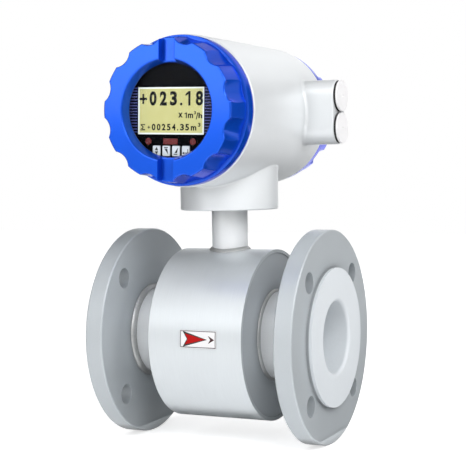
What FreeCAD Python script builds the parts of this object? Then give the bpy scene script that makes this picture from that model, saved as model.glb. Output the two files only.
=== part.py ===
import FreeCAD, Part

import math
import os
import re

from FreeCAD import Placement, Rotation, Vector
from Sketcher import Constraint

# Electromagnetic flow meter for a DN 65 line, in millimetres.
# The row's origin is the centre of the inlet sealing face. +X runs along the pipe to the
# outlet, +Y points away from the display side, and +Z points up to the converter head.

doc = FreeCAD.newDocument("flow_meter")

# ---------------------------------------------------------------- driving dimensions

DIMENSIONS = [
    # flow tube
    ("face_to_face", 200, "over both liner lips"),
    ("bore_radius", 31, "liner bore"),
    ("tube_radius", 38.05, "outside of the steel measuring tube"),
    ("tube_wall", 2.9, "wall of the measuring tube"),
    ("lip_radius", 60, "flared liner lip and raised face"),
    ("lip_thick", 2.5, "thickness of the liner lip"),
    ("mouth_round", 3, "rounding of the liner mouth"),
    ("flange_radius", 92.5, "outside of the flange"),
    ("flange_thick", 16, "flange plate"),
    ("raised_thick", 2, "height of the raised face"),
    ("flange_chamfer", 1, "edge break on the flange rim"),
    ("bolt_circle", 145, "diameter of the flange bolt circle"),
    ("bolt_hole", 18, "diameter of a flange bolt hole"),
    ("flange_weld_leg", 4, "leg of the weld behind each flange"),
    # drum
    ("drum_radius", 75, "outside of the coil drum"),
    ("drum_length", 87, "length of the drum shell"),
    ("drum_wall", 3, "wall of the drum shell"),
    ("plate_thick", 4, "drum end plate"),
    ("plate_inset", 0.8, "end plate behind the shell's edge"),
    ("plate_weld_leg", 2.2, "leg of the weld round the tube at each end plate"),
    # magnet and electrodes
    ("yoke_gap", 0.3, "between the drum shell and the yoke"),
    ("yoke_thick", 3, "wall of the yoke ring"),
    ("yoke_length", 60, "yoke along the pipe"),
    ("shoe_gap", 0.3, "between the tube and a pole shoe"),
    ("shoe_thick", 4, "pole shoe"),
    ("shoe_length", 56, "pole shoe along the pipe"),
    ("shoe_angle", 70, "arc that a pole shoe covers, degrees"),
    ("core_radius", 10.7, "core that carries a coil"),
    ("coil_gap", 0.3, "coil to core and coil to shoe"),
    ("coil_radius", 26.5, "outside of a coil"),
    ("coil_height", 17, "coil along its core"),
    ("wire_radius", 4.5, "wire way in the yoke"),
    ("wire_place", 15.7, "wire way beside the middle of the yoke"),
    ("electrode_stem", 2.5, "radius of an electrode stem"),
    ("electrode_reach", 4, "electrode past its nut"),
    ("electrode_head", 5, "radius of an electrode head"),
    ("head_sink", 0.8, "depth of the head's seat in the liner"),
    ("head_thick", 2.2, "height of an electrode head"),
    ("electrode_play", 0.2, "round an electrode and its insulator"),
    ("insulator_radius", 6, "insulator in the tube wall"),
    ("insulator_collar", 8.5, "radius of the insulator's collar"),
    ("collar_thick", 3, "collar of the insulator"),
    ("nut_flats", 9, "across the flats of an electrode nut"),
    ("nut_thick", 4, "electrode nut"),
    # flow direction plate
    ("arrow_plate_length", 33.8, "plate along the pipe"),
    ("arrow_plate_width", 14.9, "plate round the drum"),
    ("arrow_plate_thick", 0.5, "sheet of the plate"),
    ("arrow_plate_shift", 3.9, "plate's middle towards the outlet"),
    ("arrow_plate_rise", 3.95, "plate's middle above the pipe axis"),
    # neck
    ("neck_radius", 15.9, "outside of the neck tube"),
    ("neck_wall", 2.5, "wall of the neck tube"),
    ("neck_weld_leg", 2.6, "leg of the weld at the neck's foot"),
    ("neck_flange_radius", 37, "round flange on top of the neck"),
    ("neck_flange_thick", 7, "neck flange"),
    ("neck_flange_recess", 0.8, "neck flange behind the boss's lower face"),
    ("neck_flange_play", 0.5, "round the neck flange in the boss"),
    ("neck_gasket_thick", 1.5, "flat gasket on the neck flange"),
    ("neck_gasket_inner", 20, "inner radius of that gasket"),
    ("neck_bolt_radius", 29, "radius of the circle of neck screws"),
    ("neck_bolt_angle", 45, "first neck screw from the pipe axis, degrees"),
    ("screw_radius", 2.5, "shank of a neck screw"),
    ("screw_head_radius", 4.25, "head of a neck screw"),
    ("screw_head_height", 5, "head of a neck screw"),
    ("screw_socket", 4, "across the flats of a neck screw's socket"),
    ("screw_length", 16, "shank of a neck screw"),
    ("screw_play", 0.2, "round a screw in its hole"),
    # converter housing
    ("head_height", 194.5, "display axis above the pipe axis"),
    ("housing_radius", 63, "barrel of the housing"),
    ("front_reach", 83, "neck axis to the front rim"),
    ("rear_reach", 78, "neck axis to the rear rim"),
    ("rim_chamfer", 0.8, "edge break on the housing's rims"),
    ("boss_radius", 43.3, "round boss under the barrel"),
    ("boss_bottom", 110.2, "lower face of the boss above the pipe axis"),
    ("boss_round", 1.2, "rounding of the boss's lower edge"),
    ("boss_blend", 2, "fillet between the boss and the barrel"),
    ("partition_front", 4, "front face of the partition behind the neck axis"),
    ("partition_thick", 10, "partition between the two compartments"),
    ("cavity_radius", 53, "inside of the compartments"),
    ("thread_radius", 55, "threaded bore for each cover"),
    ("thread_depth", 15, "depth of that bore"),
    ("seal_seat_radius", 58, "seat of a cover seal in the rim"),
    ("seal_seat_depth", 2, "depth of that seat"),
    ("passage_radius", 11, "wire way from the neck into the housing"),
    # cable boss and plugs
    ("entry_offset", 41.5, "cable boss behind the neck axis"),
    ("entry_spacing", 28.4, "between the two cable entries"),
    ("entry_boss_radius", 14.3, "end radius of the cable boss"),
    ("entry_boss_reach", 88.5, "neck axis to the face of the cable boss"),
    ("entry_boss_blend", 3, "fillet between the cable boss and the barrel"),
    ("entry_boss_chamfer", 0.8, "edge break on the cable boss"),
    ("entry_radius", 10.2, "bore of a cable entry"),
    ("plug_play", 0.3, "round a plug's shank"),
    ("plug_length", 12, "shank of a plug"),
    ("plug_head_radius", 13.6, "disc of a plug"),
    ("plug_head_thick", 1.8, "disc of a plug"),
    ("plug_dimple_radius", 1.2, "dimple in the disc's middle"),
    ("plug_dimple_depth", 0.5, "depth of the dimple"),
    ("plug_hollow_radius", 7, "hollow of a plug's shank"),
    ("plug_washer_radius", 13.4, "outside of a plug washer"),
    ("plug_washer_thick", 2, "plug washer"),
    # covers
    ("cover_height", 34, "cover in front of the housing's rim"),
    ("cover_ring_radius", 61.8, "plain ring at the foot of a cover"),
    ("cover_ring_height", 10, "height of that ring"),
    ("cover_ring_chamfer", 0.6, "edge break on that ring"),
    ("grip_foot_radius", 60, "crests of the grip at the ring"),
    ("grip_top_radius", 57.4, "crests of the grip at the top"),
    ("scoops", 12, "finger scoops round a cover"),
    ("scoop_foot_depth", 1.6, "depth of a scoop at the ring"),
    ("scoop_top_depth", 3.6, "depth of a scoop at the top"),
    ("scoop_foot_bend", 34, "radius of a scoop's hollow at the ring"),
    ("scoop_top_bend", 12.8, "radius of a scoop's hollow at the top"),
    ("cover_neck_play", 0.3, "between a cover's neck and the housing"),
    ("cover_neck_length", 10, "threaded neck of a cover"),
    ("cover_bore", 47, "inside radius of a cover"),
    ("cover_wall", 8, "front wall of a cover"),
    ("slot_width", 13.3, "wrench slots across the front wall"),
    ("slot_depth", 6.2, "depth of those slots"),
    ("slot_inner", 36, "inner end of the slots"),
    ("cover_clock", 2, "covers turned clockwise when screwed home, degrees"),
    ("cover_round", 0.6, "rounding of the grip's front edge"),
    ("seal_play", 0.3, "round a cover seal"),
    # window
    ("window_radius", 40.9, "window at the front of the cover"),
    ("window_back_radius", 36.5, "window at the back of the front wall"),
    ("glass_play", 0.3, "round the glass in the cover's bore"),
    ("glass_thick", 3, "window glass"),
    ("glass_gasket_thick", 0.8, "gasket between the wall and the glass"),
    ("glass_gasket_inner", 38, "inner radius of that gasket"),
    ("retainer_thick", 2.2, "ring that holds the glass"),
    ("retainer_inner", 44.2, "inner radius of that ring"),
    # display stack
    ("panel_gap", 0.8, "between the glass and the display panel"),
    ("panel_radius", 43.2, "display panel"),
    ("panel_thick", 1.5, "display panel"),
    ("panel_play", 0.3, "round what passes through the panel"),
    ("display_clock", 1.8, "display turned clockwise with its panel and board, degrees"),
    ("lcd_width", 60.2, "liquid crystal display"),
    ("lcd_height", 38.2, "liquid crystal display"),
    ("lcd_shift", -2.1, "display's middle beside the cover's axis"),
    ("lcd_rise", -0.5, "display's middle above the cover's axis"),
    ("lcd_inset", 0.2, "display behind the panel's face"),
    ("board_gap", 4.5, "between the panel and the display board"),
    ("board_thick", 1.6, "every circuit board"),
    ("board_radius", 43.2, "display board"),
    ("key_width", 6.9, "face of a key"),
    ("key_height", 8.2, "face of a key"),
    ("key_pitch", 8.9, "between two keys"),
    ("key_shift", -1.3, "middle of the key row beside the axis"),
    ("key_drop", 33, "middle of the key row below the axis"),
    ("key_rise", 0.3, "key in front of the panel"),
    ("key_round", 0.9, "rounding of a key's upright edges"),
    ("key_flange", 0.65, "flange that keeps a key behind the panel"),
    ("key_body", 1.9, "depth of a key behind the panel"),
    ("key_stroke_gap", 0.6, "between a key and its switch"),
    ("switch_side", 5, "side of a key switch"),
    ("sensor_radius", 2.75, "round infrared window"),
    ("sensor_shift", 20.35, "round windows beside the bar window"),
    ("sensor_middle", -2.1, "bar window beside the axis"),
    ("sensor_drop", 25.3, "infrared windows below the axis"),
    ("bar_width", 13, "bar window"),
    ("bar_height", 4.7, "bar window"),
    ("post_circle", 41.1, "circle of the three panel posts"),
    ("post_radius", 1.9, "panel post"),
    ("post_pin_radius", 1, "pin of a post in the panel"),
    ("post_pin_play", 0.05, "round that pin"),
    ("post_angle", 90, "first panel post from the +X side, degrees"),
    # boards and standoffs
    ("main_board_radius", 49, "main board"),
    ("main_board_place", 33, "main board in front of the partition"),
    ("standoff_circle", 35, "circle of the three standoffs"),
    ("standoff_flats", 6, "across the flats of a standoff"),
    ("terminal_board_width", 72, "terminal board"),
    ("terminal_board_height", 44, "terminal board"),
    ("terminal_board_gap", 6, "terminal board behind the partition"),
    ("terminal_block_length", 62, "terminal block"),
    ("terminal_block_height", 16, "terminal block"),
    ("terminal_block_depth", 13, "terminal block"),
    ("terminal_ways", 8, "ways of the terminal block"),
    ("terminal_well", 5, "depth of a screw well"),
    ("terminal_screw_radius", 2.4, "head of a terminal screw"),
    ("terminal_screw_height", 2.5, "head of a terminal screw"),
    ("terminal_slot", 0.7, "driver slot of a terminal screw"),
    ("terminal_post_radius", 2.5, "standoff of the terminal board"),
    ("earth_radius", 4, "head of the earth screw"),
    ("earth_height", 3, "head of the earth screw"),
    ("earth_washer", 6, "washer of the earth screw"),
    ("earth_washer_thick", 1.2, "washer of the earth screw"),
    ("earth_drop", 36, "earth screw below the display axis"),
]

sheet = doc.addObject("Spreadsheet::Sheet", "Dims")
for row, (alias, number, note) in enumerate(DIMENSIONS, start=1):
    sheet.set("A%d" % row, alias)
    sheet.set("B%d" % row, str(number))
    sheet.set("C%d" % row, note)
    sheet.setAlias("B%d" % row, alias)
doc.recompute()

ALIASES = {alias for alias, number, note in DIMENSIONS}


def bound(formula):
    """A formula in the sheet's aliases, written out for use in another object."""
    return re.sub(r"[a-z_]+", lambda word: "Dims." + word[0] if word[0] in ALIASES else word[0], formula)


def size(formula):
    """The present value of a formula in the sheet's aliases."""
    return float(sheet.evalExpression(formula))


# ---------------------------------------------------------------- places

MIDDLE = "face_to_face / 2"
# Each place is an origin, as three formulas, and the turn that carries local axes to the row's.
PLACES = {
    # local Z along the pipe, towards the inlet or the outlet, from the meter's middle
    "inlet": ((MIDDLE, "0", "0"), Rotation(Vector(0, 1, 0), -90)),
    "outlet": ((MIDDLE, "0", "0"), Rotation(Vector(0, 1, 0), 90)),
    # local Z up the neck, from the pipe axis, and the same upside down
    "upright": ((MIDDLE, "0", "0"), Rotation()),
    "hanging": ((MIDDLE, "0", "0"), Rotation(Vector(1, 0, 0), 180)),
    # local Z across the pipe, towards the display side or away from it
    "near": ((MIDDLE, "0", "0"), Rotation(Vector(1, 0, 0), 90)),
    "far": ((MIDDLE, "0", "0"), Rotation(Vector(0, 1, 1), 180)),
    # the converter head, with local axes along the row's, from the display axis over the neck
    "head": ((MIDDLE, "0", "head_height"), Rotation()),
    # local Z out of the front or the rear rim of the head
    "front": ((MIDDLE, "-front_reach", "head_height"), Rotation(Vector(1, 0, 0), 90)),
    "rear": ((MIDDLE, "rear_reach", "head_height"), Rotation(Vector(0, 1, 1), 180)),
    # local Z out of the partition, into the front or the rear compartment
    "partition_front": ((MIDDLE, "partition_front", "head_height"), Rotation(Vector(1, 0, 0), 90)),
    "partition_rear": (
        (MIDDLE, "partition_front + partition_thick", "head_height"),
        Rotation(Vector(0, 1, 1), 180),
    ),
    # local Z out of the upper or the lower cable entry
    "upper_entry": (
        (MIDDLE + " + entry_boss_reach", "entry_offset", "head_height + entry_spacing / 2"),
        Rotation(Vector(0, 1, 0), 90),
    ),
    "lower_entry": (
        (MIDDLE + " + entry_boss_reach", "entry_offset", "head_height - entry_spacing / 2"),
        Rotation(Vector(0, 1, 0), 90),
    ),
}
COVER_TURN = Rotation(Vector(0, 0, 1), -size("cover_clock"))
DISPLAY_TURN = Rotation(Vector(0, 0, 1), -size("display_clock"))

nodes = []


def put(item, place, turn=Rotation()):
    """Set an object at one of the places, its origin bound to the sheet."""
    origin, rotation = PLACES[place]
    item.Placement = Placement(Vector(*[size(formula) for formula in origin]), rotation * turn)
    for letter, formula in zip("xyz", origin):
        item.setExpression(".Placement.Base." + letter, bound(formula))


# ---------------------------------------------------------------- sketches and features

def new_body(label, place, turn=Rotation()):
    body = doc.addObject("PartDesign::Body", label)
    body.Label = label
    put(body, place, turn)
    nodes.append(body)
    return body


def new_sketch(body, plane, height="0"):
    """A sketch on one of the body's origin planes, lifted along the plane's normal."""
    sketch = body.newObject("Sketcher::SketchObject", body.Name + "_sketch")
    origin_plane = [item for item in body.Origin.OriginFeatures if item.Role == plane][0]
    sketch.AttachmentSupport = [(origin_plane, "")]
    sketch.MapMode = "FlatFace"
    sketch.AttachmentOffset = Placement(Vector(0, 0, size(height)), Rotation())
    sketch.setExpression(".AttachmentOffset.Base.z", bound(height))
    return sketch


def drive(sketch, constraint, formula):
    index = sketch.addConstraint(constraint)
    sketch.setExpression("Constraints[%d]" % index, bound(formula))


def pin_point(sketch, geometry, point, x, y):
    """Hold a point of the sketch at two formulas, measured from the sketch's origin."""
    drive(sketch, Constraint("DistanceX", -1, 1, geometry, point, size(x)), x)
    drive(sketch, Constraint("DistanceY", -1, 1, geometry, point, size(y)), y)


def outline(sketch, corners):
    """A closed outline with straight sides through corners given as pairs of formulas."""
    points = [Vector(size(x), size(y), 0) for x, y in corners]
    first = sketch.GeometryCount
    count = len(points)
    for index in range(count):
        sketch.addGeometry(Part.LineSegment(points[index], points[(index + 1) % count]))
    for index in range(count):
        follower = first + (index + 1) % count
        sketch.addConstraint(Constraint("Coincident", first + index, 2, follower, 1))
        pin_point(sketch, first + index, 1, *corners[index])


def rectangle(sketch, x, y, width, height):
    """An upright rectangle about its middle."""
    left, right = "%s - (%s) / 2" % (x, width), "%s + (%s) / 2" % (x, width)
    low, high = "%s - (%s) / 2" % (y, height), "%s + (%s) / 2" % (y, height)
    outline(sketch, [(left, low), (right, low), (right, high), (left, high)])


def circle(sketch, x, y, radius):
    ring = Part.Circle(Vector(size(x), size(y), 0), Vector(0, 0, 1), size(radius))
    index = sketch.addGeometry(ring)
    pin_point(sketch, index, 3, x, y)
    drive(sketch, Constraint("Radius", index, size(radius)), radius)


def on_circle(radius, degrees):
    """Formulas for a point at an angle on a circle about the sketch's origin."""
    across = "(%s) * cos((%s) * 1 deg)" % (radius, degrees)
    up = "(%s) * sin((%s) * 1 deg)" % (radius, degrees)
    return across, up


def hexagon(sketch, x, y, flats):
    """A regular hexagon with two sides upright, pinned corner by corner."""
    reach = "(%s) / sqrt(3)" % flats
    corners = [on_circle(reach, 30 + 60 * step) for step in range(6)]
    outline(sketch, [(x + " + " + across, y + " + " + up) for across, up in corners])


def volume(body):
    doc.recompute()
    return body.Shape.Volume


def feature(body, kind, sketch, **settings):
    item = body.newObject("PartDesign::" + kind, body.Name + "_" + kind.lower())
    item.Profile = sketch
    for name, value in settings.items():
        setattr(item, name, value)
    sketch.Visibility = False
    return item


def pad(body, sketch, length, **settings):
    item = feature(body, "Pad", sketch, Length=size(length), **settings)
    item.setExpression("Length", bound(length))
    doc.recompute()
    return item


def pocket(body, sketch, depth, **settings):
    """Cut a sketch into the body, and make sure that it takes material away."""
    before = volume(body)
    item = feature(body, "Pocket", sketch, Length=size(depth), **settings)
    item.setExpression("Length", bound(depth))
    assert volume(body) < before, item.Label + " cuts nothing"
    return item


def groove(body, corners, plane="XY_Plane"):
    """Turn a cavity out of the body about the sketch's upright axis."""
    sketch = new_sketch(body, plane)
    outline(sketch, corners)
    before = volume(body)
    item = feature(body, "Groove", sketch, ReferenceAxis=(sketch, ["V_Axis"]), Angle=360)
    assert volume(body) < before, item.Label + " cuts nothing"
    return item


def turned(label, place, corners, turn=Rotation()):
    """A turned piece: an outline of radius and height, revolved about local Z."""
    body = new_body(label, place, turn)
    sketch = new_sketch(body, "XZ_Plane")
    outline(sketch, corners)
    feature(body, "Revolution", sketch, ReferenceAxis=(sketch, ["V_Axis"]), Angle=360)
    doc.recompute()
    return body


def ring(label, place, inner, outer, low, high, turn=Rotation()):
    """A plain turned ring, or a disc where the inner radius is zero."""
    corners = [(inner, low), (outer, low), (outer, high), (inner, high)]
    return turned(label, place, corners, turn)


def pattern(body, item, count):
    """Repeat one feature round local Z."""
    axis = [part for part in body.Origin.OriginFeatures if part.Role == "Z_Axis"][0]
    copies = body.newObject("PartDesign::PolarPattern", body.Name + "_pattern")
    copies.Originals = [item]
    copies.Axis = (axis, [""])
    copies.Angle = 360
    copies.Occurrences = count
    body.Tip = copies
    doc.recompute()
    return copies


def edges_where(shape, test):
    """Names of the edges whose ends and middle all pass a test on a point."""
    names = []
    for index, edge in enumerate(shape.Edges, start=1):
        first, last = edge.ParameterRange
        points = [edge.valueAt(first + (last - first) * share) for share in (0, 0.3, 0.5, 0.7, 1)]
        if all(test(point) for point in points):
            names.append("Edge%d" % index)
    return names


def dress(body, kind, edges, amount):
    """Fillet or chamfer the named edges of the body's last feature."""
    assert edges, body.Label + " has no such edge"
    base = body.Tip
    item = body.newObject("PartDesign::" + kind, body.Name + "_" + kind.lower())
    item.Base = (base, edges)
    target = "Radius" if kind == "Fillet" else "Size"
    setattr(item, target, size(amount))
    item.setExpression(target, bound(amount))
    body.Tip = item
    doc.recompute()
    return item


def near(value, target):
    return abs(value - target) < 0.01


def add_group(label, place, pieces, turn=Rotation()):
    """Several like pieces under one name, each still a solid of its own."""
    group = doc.addObject("Part::Compound", label)
    group.Label = label
    group.Links = pieces
    put(group, place, turn)
    nodes.append(group)
    return group


def shift(item, x, y, z):
    """Place a primitive inside its group, its position bound to the sheet."""
    for letter, formula in zip("xyz", (x, y, z)):
        item.setExpression(".Placement.Base." + letter, bound(formula))


def rod(name, radius, low, high, x="0", y="0"):
    """A cylinder along local Z between two heights."""
    item = doc.addObject("Part::Cylinder", name)
    item.setExpression("Radius", bound(radius))
    item.setExpression("Height", bound("(%s) - (%s)" % (high, low)))
    shift(item, x, y, low)
    return item


def block(name, width, height, low, high, x="0", y="0"):
    """A box about a middle line along local Z, between two heights."""
    item = doc.addObject("Part::Box", name)
    item.setExpression("Length", bound(width))
    item.setExpression("Width", bound(height))
    item.setExpression("Height", bound("(%s) - (%s)" % (high, low)))
    shift(item, "(%s) - (%s) / 2" % (x, width), "(%s) - (%s) / 2" % (y, height), low)
    return item


def hex_rod(name, flats, low, high, x="0", y="0"):
    """A hexagonal prism along local Z between two heights."""
    item = doc.addObject("Part::Prism", name)
    item.Polygon = 6
    item.setExpression("Circumradius", bound("(%s) / sqrt(3)" % flats))
    item.setExpression("Height", bound("(%s) - (%s)" % (high, low)))
    shift(item, x, y, low)
    return item


def joined(name, *pieces):
    item = doc.addObject("Part::MultiFuse", name)
    item.Shapes = list(pieces)
    return item


def less(name, base, tool):
    item = doc.addObject("Part::Cut", name)
    item.Base = base
    item.Tool = tool
    return item


# ---------------------------------------------------------------- flow tube and flanges

LIP_FACE = "face_to_face / 2"
TUBE_END = "face_to_face / 2 - lip_thick"
FLANGE_FACE = "face_to_face / 2 - lip_thick - raised_thick"
FLANGE_BACK = "face_to_face / 2 - lip_thick - raised_thick - flange_thick"
TUBE_BORE = "tube_radius - tube_wall"


def cross_bore(body, radius):
    """Bore both walls of a piece of the flow tube at the electrodes."""
    sketch = new_sketch(body, "XZ_Plane")
    circle(sketch, "0", "0", radius)
    pocket(body, sketch, "2 * tube_radius", Midplane=True)


def make_flow_tube():
    tube = ring("measuring_tube", "outlet", TUBE_BORE, "tube_radius", "-(%s)" % TUBE_END, TUBE_END)
    cross_bore(tube, "insulator_radius + electrode_play")

    liner = turned("tube_liner", "outlet", [
        ("bore_radius", "-(%s)" % LIP_FACE),
        ("lip_radius", "-(%s)" % LIP_FACE),
        ("lip_radius", "-(%s)" % TUBE_END),
        (TUBE_BORE, "-(%s)" % TUBE_END),
        (TUBE_BORE, TUBE_END),
        ("lip_radius", TUBE_END),
        ("lip_radius", LIP_FACE),
        ("bore_radius", LIP_FACE),
    ])
    bore, face = size("bore_radius"), size(LIP_FACE)

    def on_mouth(p):
        return near(math.hypot(p.x, p.y), bore) and near(abs(p.z), face)

    dress(liner, "Fillet", edges_where(liner.Tip.Shape, on_mouth), "mouth_round")
    cross_bore(liner, "electrode_stem + electrode_play")
    for height, away in (("bore_radius + head_sink", False), ("-bore_radius - head_sink", True)):
        seat = new_sketch(liner, "XZ_Plane", height)
        circle(seat, "0", "0", "electrode_head + electrode_play")
        pocket(liner, seat, "2 * head_sink", Reversed=away)


def make_flange(label, place):
    flange = turned(label, place, [
        ("tube_radius", FLANGE_BACK),
        ("flange_radius - flange_chamfer", FLANGE_BACK),
        ("flange_radius", FLANGE_BACK + " + flange_chamfer"),
        ("flange_radius", FLANGE_FACE + " - flange_chamfer"),
        ("flange_radius - flange_chamfer", FLANGE_FACE),
        ("lip_radius", FLANGE_FACE),
        ("lip_radius", TUBE_END),
        ("tube_radius", TUBE_END),
    ])
    sketch = new_sketch(flange, "XY_Plane", FLANGE_FACE)
    circle(sketch, *on_circle("bolt_circle / 2", 45), "bolt_hole / 2")
    pattern(flange, pocket(flange, sketch, "flange_thick"), 4)


def make_weld(label, place, inner, foot, leg):
    """A fillet weld with a flat face round the tube, on the inboard side of a plate."""
    turned(label, place, [
        (inner, foot),
        ("%s + %s" % (inner, leg), foot),
        (inner, "%s - %s" % (foot, leg)),
    ])


def make_drum():
    half = "drum_length / 2"
    shell = ring("drum_shell", "outlet", "drum_radius - drum_wall", "drum_radius", "-" + half, half)
    hole = new_sketch(shell, "YZ_Plane")
    circle(hole, "0", "0", "neck_radius")
    pocket(shell, hole, "drum_radius + drum_wall")

    outer = "drum_length / 2 - plate_inset"
    inner = outer + " - plate_thick"
    for side in ("inlet", "outlet"):
        ring(side + "_end_plate", side, "tube_radius", "drum_radius - drum_wall", inner, outer)
        turned(side + "_plate_weld", side, [
            ("tube_radius", outer),
            ("tube_radius + plate_weld_leg", outer),
            ("tube_radius", outer + " + plate_weld_leg"),
        ])


def make_arrow_plate():
    """The bent plate on the near side of the drum that carries the flow arrow."""
    body = new_body("flow_arrow_plate", "outlet")
    sketch = new_sketch(body, "YZ_Plane")
    low, high = "arrow_plate_shift - arrow_plate_length / 2", "arrow_plate_shift + arrow_plate_length / 2"
    inner, outer = "-drum_radius", "-drum_radius - arrow_plate_thick"
    outline(sketch, [(inner, low), (outer, low), (outer, high), (inner, high)])
    arc = "arrow_plate_width / drum_radius * 180 / pi"
    axis = (sketch, ["V_Axis"])
    bend = feature(body, "Revolution", sketch, ReferenceAxis=axis, Angle=size(arc), Midplane=True)
    bend.setExpression("Angle", bound(arc))
    lift = math.degrees(math.asin(size("arrow_plate_rise / drum_radius")))
    body.Placement.Rotation = Rotation(Vector(1, 0, 0), -lift) * body.Placement.Rotation


# ---------------------------------------------------------------- magnet and electrodes

YOKE_OUTER = "drum_radius - drum_wall - yoke_gap"
YOKE_INNER = "drum_radius - drum_wall - yoke_gap - yoke_thick"
SHOE_OUTER = "tube_radius + shoe_gap + shoe_thick"
COIL_FOOT = "tube_radius + shoe_gap + shoe_thick + coil_gap"


def make_pole_shoe(label, place):
    """A saddle on the tube with the core that carries the coil and meets the yoke."""
    shoe = doc.addObject("Part::Cylinder", label + "_saddle")
    shoe.setExpression("Radius", bound(SHOE_OUTER))
    shoe.setExpression("Height", bound("shoe_length"))
    shoe.setExpression("Angle", bound("shoe_angle"))
    core = rod(label + "_core", "core_radius", "tube_radius", YOKE_OUTER)
    turn = Rotation(Vector(0, 1, 0), 90) * Rotation(Vector(0, 0, 1), 180 - size("shoe_angle") / 2)
    shoe.Placement = Placement(Vector(), turn)
    shift(shoe, "-shoe_length / 2", "0", "0")
    tube_room = across_pipe(label + "_room", "tube_radius + shoe_gap")
    yoke_room = across_pipe(label + "_limit", YOKE_INNER)
    trimmed = doc.addObject("Part::Common", label + "_trimmed")
    trimmed.Base = joined(label + "_rough", shoe, core)
    trimmed.Tool = yoke_room
    piece = less(label, trimmed, tube_room)
    piece.Label = label
    put(piece, place)
    nodes.append(piece)


def across_pipe(name, radius):
    """A cylinder along the pipe, longer than the magnet, to trim pieces against."""
    item = doc.addObject("Part::Cylinder", name)
    item.setExpression("Radius", bound(radius))
    item.setExpression("Height", bound("face_to_face"))
    item.Placement = Placement(Vector(), Rotation(Vector(0, 1, 0), 90))
    shift(item, "-face_to_face / 2", "0", "0")
    return item


def make_magnet():
    yoke = ring("magnet_yoke", "outlet", YOKE_INNER, YOKE_OUTER, "-yoke_length / 2", "yoke_length / 2")
    wire_hole = new_sketch(yoke, "YZ_Plane")
    circle(wire_hole, "0", "wire_place", "wire_radius")
    pocket(yoke, wire_hole, "drum_radius")
    for level, place in (("upper", "upright"), ("lower", "hanging")):
        make_pole_shoe(level + "_pole_shoe", place)
        coil_top = COIL_FOOT + " + coil_height"
        ring(level + "_coil", place, "core_radius + coil_gap", "coil_radius", COIL_FOOT, coil_top)


def make_electrodes():
    seat = "bore_radius + head_sink"
    wall = "tube_radius - tube_wall + electrode_play"
    collar = "tube_radius + electrode_play"
    nut_foot = collar + " + collar_thick"
    nut_top = nut_foot + " + nut_thick"
    tip = nut_top + " + electrode_reach"
    insulators, nuts = [], []
    for side in ("near", "far"):
        turned(side + "_electrode", side, [
            ("0", seat + " - head_thick"),
            ("electrode_head - head_thick / 2", seat + " - head_thick"),
            ("electrode_head", seat + " - head_thick / 2"),
            ("electrode_head", seat),
            ("electrode_stem", seat),
            ("electrode_stem", tip),
            ("0", tip),
        ])
        sleeve = joined(
            side + "_sleeve",
            rod(side + "_sleeve_foot", "insulator_radius", wall, collar),
            rod(side + "_sleeve_collar", "insulator_collar", collar, nut_foot),
        )
        bore = rod(side + "_sleeve_bore", "electrode_stem + electrode_play", "0", nut_foot)
        insulators.append(less(side + "_insulator", sleeve, bore))
        nut = hex_rod(side + "_nut_blank", "nut_flats", nut_foot, nut_top)
        thread = rod(side + "_nut_bore", "electrode_stem", "0", nut_top)
        nuts.append(less(side + "_nut", nut, thread))
    for pair in (insulators, nuts):
        for item, side in zip(pair, ("near", "far")):
            item.Placement = Placement(Vector(), PLACES[side][1])
    add_group("electrode_insulators", "upright", insulators)
    add_group("electrode_nuts", "upright", nuts)


# ---------------------------------------------------------------- neck

NECK_FLANGE_FOOT = "boss_bottom + neck_flange_recess"
NECK_TOP = "boss_bottom + neck_flange_recess + neck_flange_thick"
BOSS_FLOOR = "boss_bottom + neck_flange_recess + neck_flange_thick + neck_gasket_thick"


def four_holes(body, radius, foot, depth, up=True):
    """The four neck screw holes, from a height up or down."""
    sketch = new_sketch(body, "XY_Plane", foot)
    for quarter in range(4):
        x, y = on_circle("neck_bolt_radius", "(neck_bolt_angle + %d)" % (90 * quarter))
        circle(sketch, x, y, radius)
    pocket(body, sketch, depth, Reversed=up)


def make_neck():
    foot = "drum_radius - drum_wall"
    ring("neck_tube", "upright", "neck_radius - neck_wall", "neck_radius", foot, NECK_TOP)

    bead = turned("neck_weld", "upright", [
        ("neck_radius", foot),
        ("neck_radius + neck_weld_leg", foot),
        ("neck_radius + neck_weld_leg", "drum_radius"),
        ("neck_radius", "drum_radius + neck_weld_leg"),
    ])
    drum_section = new_sketch(bead, "YZ_Plane")
    circle(drum_section, "0", "0", "drum_radius")
    pocket(bead, drum_section, "drum_length", Midplane=True)

    flange = ring("neck_flange", "upright", "neck_radius", "neck_flange_radius", NECK_FLANGE_FOOT, NECK_TOP)
    four_holes(flange, "screw_radius + screw_play", NECK_FLANGE_FOOT, "neck_flange_thick")
    head_room = "screw_head_height + screw_play"
    four_holes(flange, "screw_head_radius + screw_play", NECK_FLANGE_FOOT, head_room)

    gasket = ring("neck_gasket", "upright", "neck_gasket_inner", "neck_flange_radius", NECK_TOP, BOSS_FLOOR)
    four_holes(gasket, "screw_radius + screw_play", NECK_TOP, "neck_gasket_thick")

    screws = []
    head_top = NECK_FLANGE_FOOT + " + screw_head_height + screw_play"
    for quarter in range(4):
        x, y = on_circle("neck_bolt_radius", "(neck_bolt_angle + %d)" % (90 * quarter))
        name = "neck_screw_%d" % (quarter + 1)
        head = rod(name + "_head", "screw_head_radius", head_top + " - screw_head_height", head_top, x, y)
        shank = rod(name + "_shank", "screw_radius", head_top, head_top + " + screw_length", x, y)
        socket = hex_rod(
            name + "_socket",
            "screw_socket",
            head_top + " - screw_head_height",
            head_top + " - screw_head_height / 2",
            x,
            y,
        )
        screws.append(less(name, joined(name + "_blank", head, shank), socket))
    add_group("neck_screws", "upright", screws)


# ---------------------------------------------------------------- converter housing

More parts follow.
